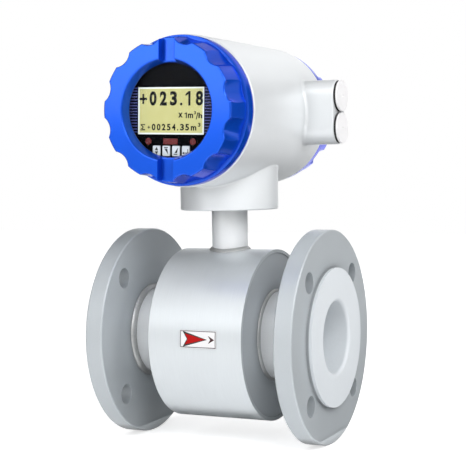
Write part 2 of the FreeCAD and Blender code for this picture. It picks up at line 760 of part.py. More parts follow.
def make_housing():
    body = new_body("converter_housing", "head")
    barrel = new_sketch(body, "XY_Plane")
    outline(barrel, [
        ("0", "-front_reach"),
        ("housing_radius - rim_chamfer", "-front_reach"),
        ("housing_radius", "-front_reach + rim_chamfer"),
        ("housing_radius", "rear_reach - rim_chamfer"),
        ("housing_radius - rim_chamfer", "rear_reach"),
        ("0", "rear_reach"),
    ])
    feature(body, "Revolution", barrel, ReferenceAxis=(barrel, ["V_Axis"]), Angle=360)
    doc.recompute()

    boss = new_sketch(body, "XY_Plane", "boss_bottom - head_height")
    circle(boss, "0", "0", "boss_radius")
    pad(body, boss, "head_height - boss_bottom")

    entry = new_sketch(body, "YZ_Plane")
    entry_outline(entry)
    pad(body, entry, "entry_boss_reach")

    barrel_radius, boss_radius = size("housing_radius"), size("boss_radius")
    bottom, reach = size("boss_bottom - head_height"), size("entry_boss_reach")

    def on_boss(p):
        return near(math.hypot(p.x, p.y), boss_radius) and p.z < 0

    def on_barrel(p):
        return near(math.hypot(p.x, p.z), barrel_radius)

    junction = edges_where(body.Tip.Shape, lambda p: on_boss(p) and on_barrel(p))
    dress(body, "Fillet", junction, "boss_blend")
    rim = edges_where(body.Tip.Shape, lambda p: on_boss(p) and near(p.z, bottom))
    dress(body, "Fillet", rim, "boss_round")
    end_radius, offset = size("entry_boss_radius"), size("entry_offset")
    half_pitch = size("entry_spacing / 2")

    def on_entry(p):
        rise = max(abs(p.z) - half_pitch, 0)
        return near(math.hypot(p.y - offset, rise), end_radius) and p.x > 0

    junction = edges_where(body.Tip.Shape, lambda p: on_entry(p) and on_barrel(p))
    dress(body, "Fillet", junction, "entry_boss_blend")
    rim = edges_where(body.Tip.Shape, lambda p: on_entry(p) and near(p.x, reach))
    dress(body, "Chamfer", rim, "entry_boss_chamfer")

    front_rim, rear_rim = "-front_reach", "rear_reach"
    groove(body, [
        ("0", "partition_front"),
        ("cavity_radius", "partition_front"),
        ("cavity_radius", front_rim + " + thread_depth"),
        ("thread_radius", front_rim + " + thread_depth"),
        ("thread_radius", front_rim + " + seal_seat_depth"),
        ("seal_seat_radius", front_rim + " + seal_seat_depth"),
        ("seal_seat_radius", front_rim),
        ("0", front_rim),
    ])
    groove(body, [
        ("0", "partition_front + partition_thick"),
        ("cavity_radius", "partition_front + partition_thick"),
        ("cavity_radius", rear_rim + " - thread_depth"),
        ("thread_radius", rear_rim + " - thread_depth"),
        ("thread_radius", rear_rim + " - seal_seat_depth"),
        ("seal_seat_radius", rear_rim + " - seal_seat_depth"),
        ("seal_seat_radius", rear_rim),
        ("0", rear_rim),
    ])

    recess = new_sketch(body, "XY_Plane", "boss_bottom - head_height")
    circle(recess, "0", "0", "neck_flange_radius + neck_flange_play")
    pocket(body, recess, "(%s) - boss_bottom" % BOSS_FLOOR, Reversed=True)
    passage = new_sketch(body, "XY_Plane", "(%s) - head_height" % BOSS_FLOOR)
    circle(passage, "0", "0", "passage_radius")
    pocket(body, passage, "head_height - cavity_radius + partition_thick - (%s)" % BOSS_FLOOR, Reversed=True)
    four_holes(body, "screw_radius", "(%s) - head_height" % BOSS_FLOOR, "screw_length - neck_gasket_thick")

    ways = new_sketch(body, "YZ_Plane", "entry_boss_reach")
    for sign in ("", "-"):
        circle(ways, "entry_offset", sign + "entry_spacing / 2", "entry_radius")
    cavity_edge = "sqrt(cavity_radius ^ 2 - (entry_spacing / 2 + entry_radius) ^ 2)"
    pocket(body, ways, "entry_boss_reach - " + cavity_edge)


def entry_outline(sketch):
    """The upright obround section of the cable boss."""
    left, right = "entry_offset - entry_boss_radius", "entry_offset + entry_boss_radius"
    low, high = "-entry_spacing / 2", "entry_spacing / 2"
    middle, radius = size("entry_offset"), size("entry_boss_radius")
    bottom, top = Vector(middle, size(low), 0), Vector(middle, size(high), 0)
    normal = Vector(0, 0, 1)
    sketch.addGeometry(Part.ArcOfCircle(Part.Circle(top, normal, radius), 0, math.pi))
    sketch.addGeometry(Part.LineSegment(Vector(size(left), top.y, 0), Vector(size(left), bottom.y, 0)))
    sketch.addGeometry(Part.ArcOfCircle(Part.Circle(bottom, normal, radius), math.pi, 2 * math.pi))
    sketch.addGeometry(Part.LineSegment(Vector(size(right), bottom.y, 0), Vector(size(right), top.y, 0)))
    for index in range(4):
        sketch.addConstraint(Constraint("Coincident", index, 2, (index + 1) % 4, 1))
    pin_point(sketch, 0, 3, "entry_offset", high)
    pin_point(sketch, 2, 3, "entry_offset", low)
    pin_point(sketch, 1, 1, left, high)
    pin_point(sketch, 1, 2, left, low)
    for point, level in ((1, low), (2, high)):
        drive(sketch, Constraint("DistanceY", -1, 1, 3, point, size(level)), level)


def make_plug(level):
    place = level + "_entry"
    washer_top = "plug_washer_thick"
    disc_top = "plug_washer_thick + plug_head_thick"
    ring(level + "_plug_washer", place, "entry_radius", "plug_washer_radius", "0", washer_top)
    turned(level + "_entry_plug", place, [
        ("0", disc_top + " - plug_dimple_depth"),
        ("plug_dimple_radius", disc_top + " - plug_dimple_depth"),
        ("plug_dimple_radius", disc_top),
        ("plug_head_radius", disc_top),
        ("plug_head_radius", washer_top),
        ("entry_radius - plug_play", washer_top),
        ("entry_radius - plug_play", "-plug_length"),
        ("plug_hollow_radius", "-plug_length"),
        ("plug_hollow_radius", "0"),
        ("0", "0"),
    ])


# ---------------------------------------------------------------- covers

def make_cover(label, place, windowed):
    """A screwed cover: plain ring, scooped grip, two wrench slots and, in front, the window."""
    inside = "cover_height - cover_wall"
    if windowed:
        front = [("window_back_radius", inside), ("window_radius", "cover_height")]
    else:
        front = [("0", inside), ("0", "cover_height")]
    cover = turned(label, place, front + [
        ("grip_top_radius", "cover_height"),
        ("grip_foot_radius", "cover_ring_height"),
        ("cover_ring_radius - cover_ring_chamfer", "cover_ring_height"),
        ("cover_ring_radius", "cover_ring_height - cover_ring_chamfer"),
        ("cover_ring_radius", "0"),
        ("thread_radius - cover_neck_play", "0"),
        ("thread_radius - cover_neck_play", "-cover_neck_length"),
        ("cover_bore", "-cover_neck_length"),
        ("cover_bore", inside),
    ], COVER_TURN)

    foot = new_sketch(cover, "XY_Plane", "cover_ring_height")
    scoop_section(foot, "grip_foot_radius", "scoop_foot_depth", "scoop_foot_bend")
    top = new_sketch(cover, "XY_Plane", "cover_height")
    scoop_section(top, "grip_top_radius", "scoop_top_depth", "scoop_top_bend")
    before = volume(cover)
    scoop = feature(cover, "SubtractiveLoft", foot, Sections=[top])
    assert volume(cover) < before, label + " has no scoop"
    pattern(cover, scoop, int(size("scoops")))
    top_height, rim_inside = size("cover_height"), size("slot_inner + cover_wall")
    rim = edges_where(
        cover.Tip.Shape, lambda p: near(p.z, top_height) and math.hypot(p.x, p.y) > rim_inside
    )
    dress(cover, "Fillet", rim, "cover_round")

    slots = new_sketch(cover, "XY_Plane", "cover_height")
    across = "slot_width / 2"
    for sign in ("", "-"):
        inner, outer = sign + "slot_inner", sign + "cover_ring_radius"
        outline(slots, [("-" + across, inner), (across, inner), (across, outer), ("-" + across, outer)])
    pocket(cover, slots, "slot_depth")


def scoop_section(sketch, crest, depth, bend):
    """The round of a scoop at one height, half a pitch away from the wrench slot."""
    away = "(%s) - (%s) + (%s)" % (crest, depth, bend)
    circle(sketch, *on_circle(away, "(90 + 180 / scoops)"), bend)


def make_cover_seal(label, place):
    outer = "seal_seat_radius - seal_play"
    ring(label, place, "thread_radius", outer, "-seal_seat_depth + seal_play / 2", "0")


WALL_BACK = "cover_height - cover_wall"
GLASS_TOP = "cover_height - cover_wall - glass_gasket_thick"
GLASS_BACK = "cover_height - cover_wall - glass_gasket_thick - glass_thick"


def make_window():
    outer = "cover_bore - glass_play"
    ring_foot = GLASS_BACK + " - retainer_thick"
    ring("window_gasket", "front", "glass_gasket_inner", outer, GLASS_TOP, WALL_BACK)
    ring("window_glass", "front", "0", outer, GLASS_BACK, GLASS_TOP)
    ring("window_retaining_ring", "front", "retainer_inner", outer, ring_foot, GLASS_BACK)


# ---------------------------------------------------------------- display and keys

PANEL_FACE = "cover_height - cover_wall - glass_gasket_thick - glass_thick - panel_gap"
PANEL_BACK = PANEL_FACE + " - panel_thick"
BOARD_FACE = PANEL_BACK + " - board_gap"
BOARD_BACK = BOARD_FACE + " - board_thick"
SENSORS = (
    ("left", "sensor_middle - sensor_shift"),
    ("right", "sensor_middle + sensor_shift"),
)


def key_middle(index):
    return "key_shift + key_pitch * %s" % (index - 1.5)


def make_display():
    panel = ring("display_panel", "front", "0", "panel_radius", PANEL_BACK, PANEL_FACE, DISPLAY_TURN)
    holes = new_sketch(panel, "XY_Plane", PANEL_FACE)
    rectangle(holes, "lcd_shift", "lcd_rise", "lcd_width + panel_play", "lcd_height + panel_play")
    key_hole_width, key_hole_height = "key_width + 2 * panel_play", "key_height + 2 * panel_play"
    for index in range(4):
        rectangle(holes, key_middle(index), "-key_drop", key_hole_width, key_hole_height)
    for side, middle in SENSORS:
        circle(holes, middle, "-sensor_drop", "sensor_radius + panel_play / 2")
    rectangle(holes, "sensor_middle", "-sensor_drop", "bar_width + panel_play", "bar_height + panel_play")
    for third in range(3):
        x, y = on_circle("post_circle", "(post_angle + %d)" % (120 * third))
        circle(holes, x, y, "post_pin_radius + post_pin_play")
    pocket(panel, holes, "panel_thick")

    lcd = new_body("lcd_module", "front", DISPLAY_TURN)
    glass = new_sketch(lcd, "XY_Plane", BOARD_FACE)
    rectangle(glass, "lcd_shift", "lcd_rise", "lcd_width", "lcd_height")
    pad(lcd, glass, "board_gap + panel_thick - lcd_inset")

    ring("display_board", "front", "0", "board_radius", BOARD_BACK, BOARD_FACE, DISPLAY_TURN)

    windows = [
        rod(side + "_sensor", "sensor_radius", BOARD_FACE, PANEL_FACE, middle, "-sensor_drop")
        for side, middle in SENSORS
    ]
    bar_middle = ("sensor_middle", "-sensor_drop")
    windows.append(block("bar_sensor", "bar_width", "bar_height", BOARD_FACE, PANEL_FACE, *bar_middle))
    add_group("infrared_windows", "front", windows, DISPLAY_TURN)

    posts = []
    for third in range(3):
        x, y = on_circle("post_circle", "(post_angle + %d)" % (120 * third))
        name = "panel_post_%d" % (third + 1)
        foot = rod(name + "_foot", "post_radius", BOARD_FACE, PANEL_BACK, x, y)
        pin = rod(name + "_pin", "post_pin_radius", PANEL_BACK, PANEL_FACE, x, y)
        posts.append(joined(name, foot, pin))
    add_group("panel_posts", "front", posts, DISPLAY_TURN)


def make_keys():
    """Four keys that stand through the panel, each over a switch on the display board."""
    key_back = PANEL_BACK + " - key_body"
    foot, crown, slack = size(PANEL_BACK), size(PANEL_FACE + " + key_rise"), size("panel_play")
    switches = []
    for index, name in enumerate(("setting_key", "down_key", "up_key", "enter_key")):
        key = new_body(name, "front", DISPLAY_TURN)
        flange = new_sketch(key, "XY_Plane", key_back)
        flange_width, flange_height = "key_width + 2 * key_flange", "key_height + 2 * key_flange"
        rectangle(flange, key_middle(index), "-key_drop", flange_width, flange_height)
        pad(key, flange, "key_body")
        stem = new_sketch(key, "XY_Plane", PANEL_BACK)
        rectangle(stem, key_middle(index), "-key_drop", "key_width", "key_height")
        pad(key, stem, "panel_thick + key_rise")
        corners = edges_where(key.Tip.Shape, lambda p: foot - slack < p.z < crown + slack)
        tops = edges_where(key.Tip.Shape, lambda p: near(p.z, crown) or near(p.z, foot))
        dress(key, "Fillet", [edge for edge in corners if edge not in tops], "key_round")
        switch_top = key_back + " - key_stroke_gap"
        label = "switch_%d" % (index + 1)
        middle = (key_middle(index), "-key_drop")
        switches.append(block(label, "switch_side", "switch_side", BOARD_FACE, switch_top, *middle))
    add_group("key_switches", "front", switches, DISPLAY_TURN)


# ---------------------------------------------------------------- boards and terminals

def standoffs(label, place, low, high):
    """Three hexagonal standoffs between two heights."""
    pieces = []
    for third in range(3):
        x, y = on_circle("standoff_circle", "(post_angle + %d)" % (120 * third))
        pieces.append(hex_rod("%s_%d" % (label, third + 1), "standoff_flats", low, high, x, y))
    add_group(label, place, pieces)


def make_boards():
    main_face = "main_board_place + board_thick"
    display_back = "partition_front + front_reach + " + BOARD_BACK
    ring("main_board", "partition_front", "0", "main_board_radius", "main_board_place", main_face)
    standoffs("lower_standoffs", "partition_front", "0", "main_board_place")
    standoffs("upper_standoffs", "partition_front", main_face, display_back)


def terminal_middle(index):
    return "terminal_block_length / terminal_ways * (%s - (terminal_ways - 1) / 2)" % index


def make_terminals():
    board_back, board_face = "terminal_board_gap", "terminal_board_gap + board_thick"
    board = new_body("terminal_board", "partition_rear")
    sheet_outline = new_sketch(board, "XY_Plane", board_back)
    rectangle(sheet_outline, "0", "0", "terminal_board_width", "terminal_board_height")
    pad(board, sheet_outline, "board_thick")

    posts = []
    for x_sign in ("", "-"):
        for y_sign in ("", "-"):
            x = x_sign + "(terminal_board_width / 2 - 2 * terminal_post_radius)"
            y = y_sign + "(terminal_board_height / 2 - 2 * terminal_post_radius)"
            posts.append(rod("terminal_post", "terminal_post_radius", "0", board_back, x, y))
    add_group("terminal_standoffs", "partition_rear", posts)

    top = board_face + " + terminal_block_depth"
    strip = new_body("terminal_block", "partition_rear")
    foot = new_sketch(strip, "XY_Plane", board_face)
    rectangle(foot, "0", "0", "terminal_block_length", "terminal_block_height")
    pad(strip, foot, "terminal_block_depth")
    wells = new_sketch(strip, "XY_Plane", top)
    screws = []
    count = int(size("terminal_ways"))
    floor = top + " - terminal_well"
    screw_top = floor + " + terminal_screw_height"
    for index in range(count):
        middle = terminal_middle(index)
        circle(wells, middle, "0", "terminal_screw_radius + screw_play")
        name = "terminal_screw_%d" % (index + 1)
        head = rod(name + "_head", "terminal_screw_radius", floor, screw_top, middle, "0")
        slot = block(name + "_slot", "2 * terminal_screw_radius", "terminal_slot",
                     screw_top + " - terminal_slot", screw_top, middle, "0")
        screws.append(less(name, head, slot))
    pocket(strip, wells, "terminal_well")
    add_group("terminal_screws", "partition_rear", screws)

    washer_top = "earth_washer_thick"
    head_top = "earth_washer_thick + earth_height"
    earth = rod("earth_head", "earth_radius", washer_top, head_top, "0", "-earth_drop")
    washer = rod("earth_disc", "earth_washer", "0", washer_top, "0", "-earth_drop")
    slot = block("earth_slot", "2 * earth_radius", "terminal_slot", head_top + " - terminal_slot", head_top,
                 "0", "-earth_drop")
    screw = less("earth_screw", joined("earth_blank", earth, washer), slot)
    screw.Label = "earth_screw"
    put(screw, "partition_rear")
    nodes.append(screw)


make_flow_tube()
for side in ("inlet", "outlet"):
    make_flange(side + "_flange", side)
    make_weld(side + "_flange_weld", side, "tube_radius", FLANGE_BACK, "flange_weld_leg")
make_drum()
make_arrow_plate()
make_magnet()
make_electrodes()
make_neck()
make_housing()
for level in ("upper", "lower"):
    make_plug(level)
make_cover("front_cover", "front", True)
make_cover("rear_cover", "rear", False)
for side in ("front", "rear"):
    make_cover_seal(side + "_cover_seal", side)
make_window()
make_display()
make_keys()
make_boards()
make_terminals()

# ---------------------------------------------------------------- check and write

doc.recompute()
for item in doc.Objects:
    faults = [word for word in item.State if word in ("Invalid", "Error")]
    assert not faults, "%s failed: %s" % (item.Label, item.State)
os.makedirs("parts", exist_ok=True)
for node in nodes:
    shape = node.Shape
    assert not shape.isNull() and shape.isValid(), node.Label + " has no sound shape"
    shape.exportStep("parts/%s.step" % node.Label)
    print(node.Label, len(shape.Solids), round(shape.Volume))
print(len(nodes), "nodes")
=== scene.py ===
import math

import bmesh
import bpy
import numpy as np
from mathutils import Matrix, Vector


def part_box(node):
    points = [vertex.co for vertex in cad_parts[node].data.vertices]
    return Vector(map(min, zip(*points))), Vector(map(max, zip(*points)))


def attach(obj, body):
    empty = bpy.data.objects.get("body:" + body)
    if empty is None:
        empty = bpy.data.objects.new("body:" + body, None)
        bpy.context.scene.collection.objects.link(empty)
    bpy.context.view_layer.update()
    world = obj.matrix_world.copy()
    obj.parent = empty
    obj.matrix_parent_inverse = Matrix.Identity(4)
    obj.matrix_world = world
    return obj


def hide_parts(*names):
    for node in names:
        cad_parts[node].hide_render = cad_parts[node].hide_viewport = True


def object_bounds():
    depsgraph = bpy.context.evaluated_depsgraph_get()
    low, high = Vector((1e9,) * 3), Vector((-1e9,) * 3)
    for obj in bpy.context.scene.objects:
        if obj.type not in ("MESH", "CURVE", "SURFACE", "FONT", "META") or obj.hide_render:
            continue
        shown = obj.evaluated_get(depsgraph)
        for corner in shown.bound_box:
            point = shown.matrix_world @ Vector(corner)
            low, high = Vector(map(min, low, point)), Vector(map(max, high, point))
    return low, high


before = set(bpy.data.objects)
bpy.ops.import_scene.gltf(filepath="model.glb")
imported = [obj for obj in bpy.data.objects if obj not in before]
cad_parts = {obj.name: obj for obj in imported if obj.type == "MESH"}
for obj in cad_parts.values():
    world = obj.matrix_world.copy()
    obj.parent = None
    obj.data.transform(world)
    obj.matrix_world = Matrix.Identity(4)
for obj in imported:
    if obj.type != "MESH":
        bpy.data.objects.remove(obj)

cad_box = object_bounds()

# ---------------------------------------------------------------- view and studio
# The meter stands on its two flange rims on a pale sweep, in a grey room with a darker ceiling, lit by
# large soft boxes and edged by black flags, as metal is shown in a product studio.
# The eye is a little lower than the display and turned to the outlet side.

camera_turn, camera_rise, camera_roll = math.radians(25.163), math.radians(3.136), math.radians(-0.955)
camera_target = Vector((0.10287, 0.0, 0.08898))
camera_distance = 1.1337

back = Vector((
    math.sin(camera_turn) * math.cos(camera_rise),
    -math.cos(camera_turn) * math.cos(camera_rise),
    math.sin(camera_rise),
))
level_right = Vector((math.cos(camera_turn), math.sin(camera_turn), 0.0))
level_up = back.cross(level_right)
right = level_right * math.cos(camera_roll) + level_up * math.sin(camera_roll)
up = level_up * math.cos(camera_roll) - level_right * math.sin(camera_roll)

camera = bpy.data.objects.new("camera", bpy.data.cameras.new("camera"))
bpy.context.collection.objects.link(camera)
camera.data.sensor_width = 36.0
camera.data.lens = 98.74
camera.matrix_world = Matrix.Translation(camera_target + back * camera_distance) @ Matrix(
    (right, up, back)
).transposed().to_4x4()
bpy.context.scene.camera = camera
bpy.context.scene.view_settings.view_transform = "Standard"


def linear(hex_colour):
    """A written sRGB colour such as "3877F4" as a shader's linear red, green, blue and full alpha."""
    channels = [int(hex_colour[place:place + 2], 16) / 255 for place in (0, 2, 4)]
    return tuple(c / 12.92 if c <= 0.04045 else ((c + 0.055) / 1.055) ** 2.4 for c in channels) + (1.0,)


def add_node(tree, kind, inputs=(), **settings):
    """Add a shader node, set its properties, and set or link its inputs by name or number."""
    node = tree.nodes.new("ShaderNode" + kind)
    for name, value in settings.items():
        setattr(node, name, value)
    for name, value in dict(inputs).items():
        if isinstance(value, bpy.types.NodeSocket):
            tree.links.new(value, node.inputs[name])
        else:
            node.inputs[name].default_value = value
    return node


def new_material(name):
    """An empty material and its node tree."""
    material = bpy.data.materials.new(name)
    material.use_nodes = True
    material.node_tree.nodes.clear()
    return material, material.node_tree


def flat_sheet(name, material, width, height, placing):
    """A rectangle round the origin, moved by a matrix, as part of the studio."""
    corners = [(x * width / 2, y * height / 2, 0) for x, y in ((-1, -1), (1, -1), (1, 1), (-1, 1))]
    mesh = bpy.data.meshes.new(name)
    mesh.from_pydata([placing @ Vector(corner) for corner in corners], [], [(0, 1, 2, 3)])
    mesh.materials.append(material)
    sheet = bpy.data.objects.new(name, mesh)
    bpy.context.collection.objects.link(sheet)
    return sheet


# The sweep is a pale matt paper. To the eye, to reflections and through glass it glows a little, so
# that it reads as white and still keeps the meter's shadow.
sweep_size, sweep_glow = 6.0, 0.62
sweep_paper, tree = new_material("matt_white_paper")
path = add_node(tree, "LightPath")
seen = add_node(tree, "Math", {0: path.outputs["Is Camera Ray"], 1: path.outputs["Is Glossy Ray"]},
                operation="MAXIMUM")
seen = add_node(tree, "Math", {0: seen.outputs[0], 1: path.outputs["Is Transmission Ray"]},
                operation="MAXIMUM")
glow = add_node(tree, "Math", {0: seen.outputs[0], 1: sweep_glow}, operation="MULTIPLY")
paper = add_node(tree, "BsdfDiffuse", {"Color": linear("F6F6F6")})
light = add_node(tree, "Emission", {"Color": (1, 1, 1, 1), "Strength": glow.outputs[0]})
both = add_node(tree, "AddShader", {0: paper.outputs[0], 1: light.outputs[0]})
add_node(tree, "OutputMaterial", {"Surface": both.outputs[0]})
flat_sheet("sweep", sweep_paper, sweep_size, sweep_size, Matrix.Translation((0.0, 0.0, cad_box[0].z)))

# The room is light grey up to ceiling_start, as the height of a direction, and darker from ceiling_end
# on. To the eye and through glass it is white in every direction.
wall_light, ceiling_light = 0.66, 0.5
ceiling_start, ceiling_end = 0.15, 0.75
world = bpy.data.worlds.new("studio")
bpy.context.scene.world = world
world.use_nodes = True
tree = world.node_tree
tree.nodes.clear()
direction = add_node(tree, "TexCoord")
height = add_node(tree, "SeparateXYZ", {0: direction.outputs["Generated"]})
room = add_node(tree, "MapRange", {"Value": height.outputs["Z"], "From Min": ceiling_start,
                                   "From Max": ceiling_end, "To Min": wall_light, "To Max": ceiling_light},
                interpolation_type="SMOOTHSTEP")
path = add_node(tree, "LightPath")
seen = add_node(tree, "Math", {0: path.outputs["Is Camera Ray"], 1: path.outputs["Is Transmission Ray"]},
                operation="MAXIMUM")
strength = add_node(tree, "Math", {0: room.outputs[0], 1: seen.outputs[0]}, operation="MAXIMUM")
walls = add_node(tree, "Background", {"Color": (1, 1, 1, 1), "Strength": strength.outputs[0]})
add_node(tree, "OutputWorld", {"Surface": walls.outputs[0]})


def soft_box(name, place, aim, width, height, power):
    """A rectangular soft box that faces a point."""
    lamp = bpy.data.lights.new(name, "AREA")
    lamp.shape = "RECTANGLE"
    lamp.size, lamp.size_y = width, height
    lamp.energy = power
    box = bpy.data.objects.new(name, lamp)
    bpy.context.collection.objects.link(box)
    box.location = place
    box.rotation_euler = (Vector(aim) - Vector(place)).to_track_quat("-Z", "Y").to_euler()


# The black card gives bright metal its dark edges.
black_card, tree = new_material("black_card")
card_face = add_node(tree, "BsdfDiffuse", {"Color": linear("1E1E20")})
add_node(tree, "OutputMaterial", {"Surface": card_face.outputs[0]})


def black_flag(name, place, aim, width, height, shades=True):
    """A black card that faces a point, unseen by the lens. One that shades also dims what it faces."""
    turn = (Vector(aim) - Vector(place)).to_track_quat("-Z", "Y").to_matrix().to_4x4()
    card = flat_sheet(name, black_card, width, height, Matrix.Translation(place) @ turn)
    card.visible_camera = False
    card.visible_shadow = False
    card.visible_diffuse = shades


# places and sizes in metres, powers in watts
middle = (0.1, 0.0, 0.09)
display_side = (0.1, -0.117, 0.1945)
soft_box("key_box", (1.0, -1.15, 1.0), middle, 0.6, 0.7, 9.5)
soft_box("front_box", (-0.36, -1.05, 1.1), middle, 0.6, 0.9, 3.05)
soft_box("cover_box", (-0.414, -1.172, 0.444), display_side, 0.5, 0.42, 1.75)
soft_box("side_box", (1.3, -0.1, 0.75), middle, 0.6, 0.7, 5)
soft_box("rear_box", (0.3, 1.15, 0.8), middle, 0.7, 0.35, 0.3)
soft_box("back_box", (-0.5, 1.5, 0.5), middle, 1.0, 1.0, 3)
black_flag("right_flag", (0.75, 1.2, 0.2), middle, 0.9, 1.0, shades=False)
black_flag("left_flag", (-0.8, 0.1, 0.2), middle, 1.9, 1.3)
black_flag("roof_flag", (-0.55, 0.6, 0.95), middle, 1.1, 0.9, shades=False)
# two lie flat, a little over the sweep, behind the meter and beside it
black_flag("under_flag", (0.0, 0.325, -0.085), (0.0, 0.325, -1.0), 1.6, 0.71, shades=False)
black_flag("side_floor_flag", (0.95, 0.35, -0.085), (0.95, 0.35, -1.0), 1.2, 1.1, shades=False)

# ---------------------------------------------------------------- tube and liner
# A stainless tube runs through the meter. Its liner is PTFE, moulded in one piece and flared out over
# both flanges as the sealing faces.

mm = 0.001


def finish(name, colour, roughness, metallic=0.0, spot=1.0, tint=0.03, relief=0.0, stretch=(1, 1, 1),
           soften=0.0, coat=0.0, ior=1.5, specular=0.5, painted_shade=0.0):
    """A finish whose shade, gloss and height wander with a noise of a real spot size.

    spot and relief are in millimetres, tint is the share by which the shade wanders, stretch draws the
    grain out along an axis, and soften is the radius that catches the light on a worn or moulded edge.
    The last argument is the share of painted shade: holes and inner corners are painted darker by it, where
    shade falls in them.
    """
    patch_size, painted_shade_reach, gloss_wander, coat_roughness = 35 * mm, 14 * mm, 0.12, 0.12
    # the sum of the two noises stays mostly within these limits
    wander = {"From Min": 0.6, "From Max": 1.4}
    material, tree = new_material(name)
    place = add_node(tree, "TexCoord")
    laid = add_node(tree, "Mapping", {"Vector": place.outputs["Object"], "Scale": stretch})
    grain = add_node(tree, "TexNoise", {"Vector": laid.outputs[0], "Scale": 1 / (spot * mm), "Detail": 3.0})
    patch = add_node(tree, "TexNoise", {"Vector": place.outputs["Object"], "Scale": 1 / patch_size,
                                        "Detail": 2.0})
    mean = add_node(tree, "Math", {0: grain.outputs["Fac"], 1: patch.outputs["Fac"]}, operation="ADD")
    shade = add_node(tree, "MapRange", {"Value": mean.outputs[0], **wander,
                                        "To Min": 1 - tint, "To Max": 1 + tint})
    # painted shade: holes and inner corners are darkened in the colour itself by an ambient occlusion, not by
    # the lamps
    if painted_shade:
        corner = add_node(tree, "AmbientOcclusion", {"Distance": painted_shade_reach}, samples=8)
        corner_shade = add_node(tree, "MapRange", {"Value": corner.outputs["AO"], "From Min": 0.25,
                                             "From Max": 0.95, "To Min": 1 - painted_shade, "To Max": 1.0})
        shade = add_node(tree, "Math", {0: shade.outputs[0], 1: corner_shade.outputs[0]}, operation="MULTIPLY")
    paint = add_node(tree, "VectorMath", {0: linear(colour)[:3], "Scale": shade.outputs[0]},
                     operation="SCALE")
    gloss = add_node(tree, "MapRange", {"Value": mean.outputs[0], **wander,
                                        "To Min": roughness * (1 - gloss_wander),
                                        "To Max": roughness * (1 + gloss_wander)})
    shader = add_node(tree, "BsdfPrincipled", {
        "Base Color": paint.outputs[0],
        "Roughness": gloss.outputs[0],
        "Metallic": metallic,
        "IOR": ior,
        "Coat Weight": coat,
        "Specular IOR Level": specular,
        "Coat Roughness": coat_roughness,
    })
    if soften:
        rounded = add_node(tree, "Bevel", {"Radius": soften * mm}, samples=6)
        tree.links.new(rounded.outputs[0], shader.inputs["Normal"])
    if relief:
        bump = add_node(tree, "Bump", {"Height": grain.outputs["Fac"], "Distance": relief * mm,
                                       "Strength": 1.0})
        if soften:
            tree.links.new(rounded.outputs[0], bump.inputs["Normal"])
        tree.links.new(bump.outputs[0], shader.inputs["Normal"])
    add_node(tree, "OutputMaterial", {"Surface": shader.outputs[0]})
    return material


def dress(material, *names):
    """Give CAD nodes a finish."""
    for name in names:
        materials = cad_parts[name].data.materials
        materials.clear()
        materials.append(material)


# drawn and lacquered: a satin near-white with a faint grain along the pipe, and painted shade that darkens its
# corners
drawn_tube = finish("drawn_stainless_tube", "EEF0F1", 0.36, metallic=0.15, spot=0.5, stretch=(0.05, 1, 1),
                    painted_shade=0.4)
dress(drawn_tube, "measuring_tube", "neck_tube")
# a cool white, waxy plastic with a soft sheen
dress(finish("moulded_ptfe_liner", "DDE2E6", 0.38, spot=2.5, tint=0.02, relief=0.01, soften=0.5),
      "tube_liner")

# ---------------------------------------------------------------- flanges
# Forged steel flanges, faced and bored on a lathe and sprayed with silver-grey lacquer. The lacquer
# is satin, so the turning marks only show as faint rings on the faces.


def turned_lacquer(name, colour, roughness, metallic, pitch):
    """Silver lacquer over rings round the pipe axis: a sine of the distance from the axis over the pitch."""
    ring_scale = 0.314  # the wave texture's own ring pitch at a scale of one
    # with painted shade that darkens the bolt holes and inner corners
    material = finish(name, colour, roughness, metallic=metallic, spot=0.9, soften=0.6, painted_shade=0.65)
    tree = material.node_tree
    place = add_node(tree, "TexCoord")
    rings = add_node(tree, "TexWave", {"Vector": place.outputs["Object"], "Scale": ring_scale / (pitch * mm),
                                       "Distortion": 0.4, "Detail": 1.0},
                     wave_type="RINGS", rings_direction="X")
    shader = tree.nodes["Principled BSDF"]
    bump = add_node(tree, "Bump", {"Height": rings.outputs["Fac"], "Distance": 0.012 * mm, "Strength": 0.6,
                                   "Normal": shader.inputs["Normal"].links[0].from_socket})
    tree.links.new(bump.outputs[0], shader.inputs["Normal"])
    return material


# evenly grey, with rings drawn coarser than a lathe's, so that they show
dress(turned_lacquer("silver_lacquer_on_turned_steel", "BCC2C6", 0.44, 0.25, pitch=1.6),
      "inlet_flange", "outlet_flange")

# ---------------------------------------------------------------- drum
# The coil drum is rolled stainless sheet with pressed end plates let in a little and welded round. A
# bead of weld also joins the tube to each end plate and to each flange.

# Brushed round the drum and lacquered, so it carries one long soft highlight. The grain is drawn
# coarser than real brushing, so that it shows.
# painted shade darkens its recessed rim and the corners beside it
dress(finish("brushed_stainless_drum", "D2D7DA", 0.4, metallic=0.45, spot=0.7, tint=0.035,
             stretch=(1, 0.04, 0.04), soften=0.5, painted_shade=0.5), "drum_shell")
# faint turning rings under a satin lacquer, duller than the drum
dress(turned_lacquer("satin_end_plate", "C2C7CB", 0.45, 0.3, pitch=2.2),
      "inlet_end_plate", "outlet_end_plate")
# bare bright metal, a little pitted, with a glint on every ripple
weld_metal = finish("stainless_weld_metal", "BDBEBD", 0.38, metallic=0.6, spot=1.2, tint=0.09, relief=0.04)


def add_piece(name, points, faces, material, body, replaced=(), smooth=True):
    """A new piece in the row frame: its mesh, finish and body, and the CAD nodes it stands for."""
    mesh = bpy.data.meshes.new(name)
    mesh.from_pydata(np.asarray(points).tolist(), [], [list(face) for face in faces])
    mesh.update()
    if smooth:
        mesh.shade_smooth()
    mesh.materials.append(material)
    piece = bpy.data.objects.new(name, mesh)
    bpy.context.collection.objects.link(piece)
    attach(piece, body)
    if replaced:
        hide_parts(*replaced)
    return piece


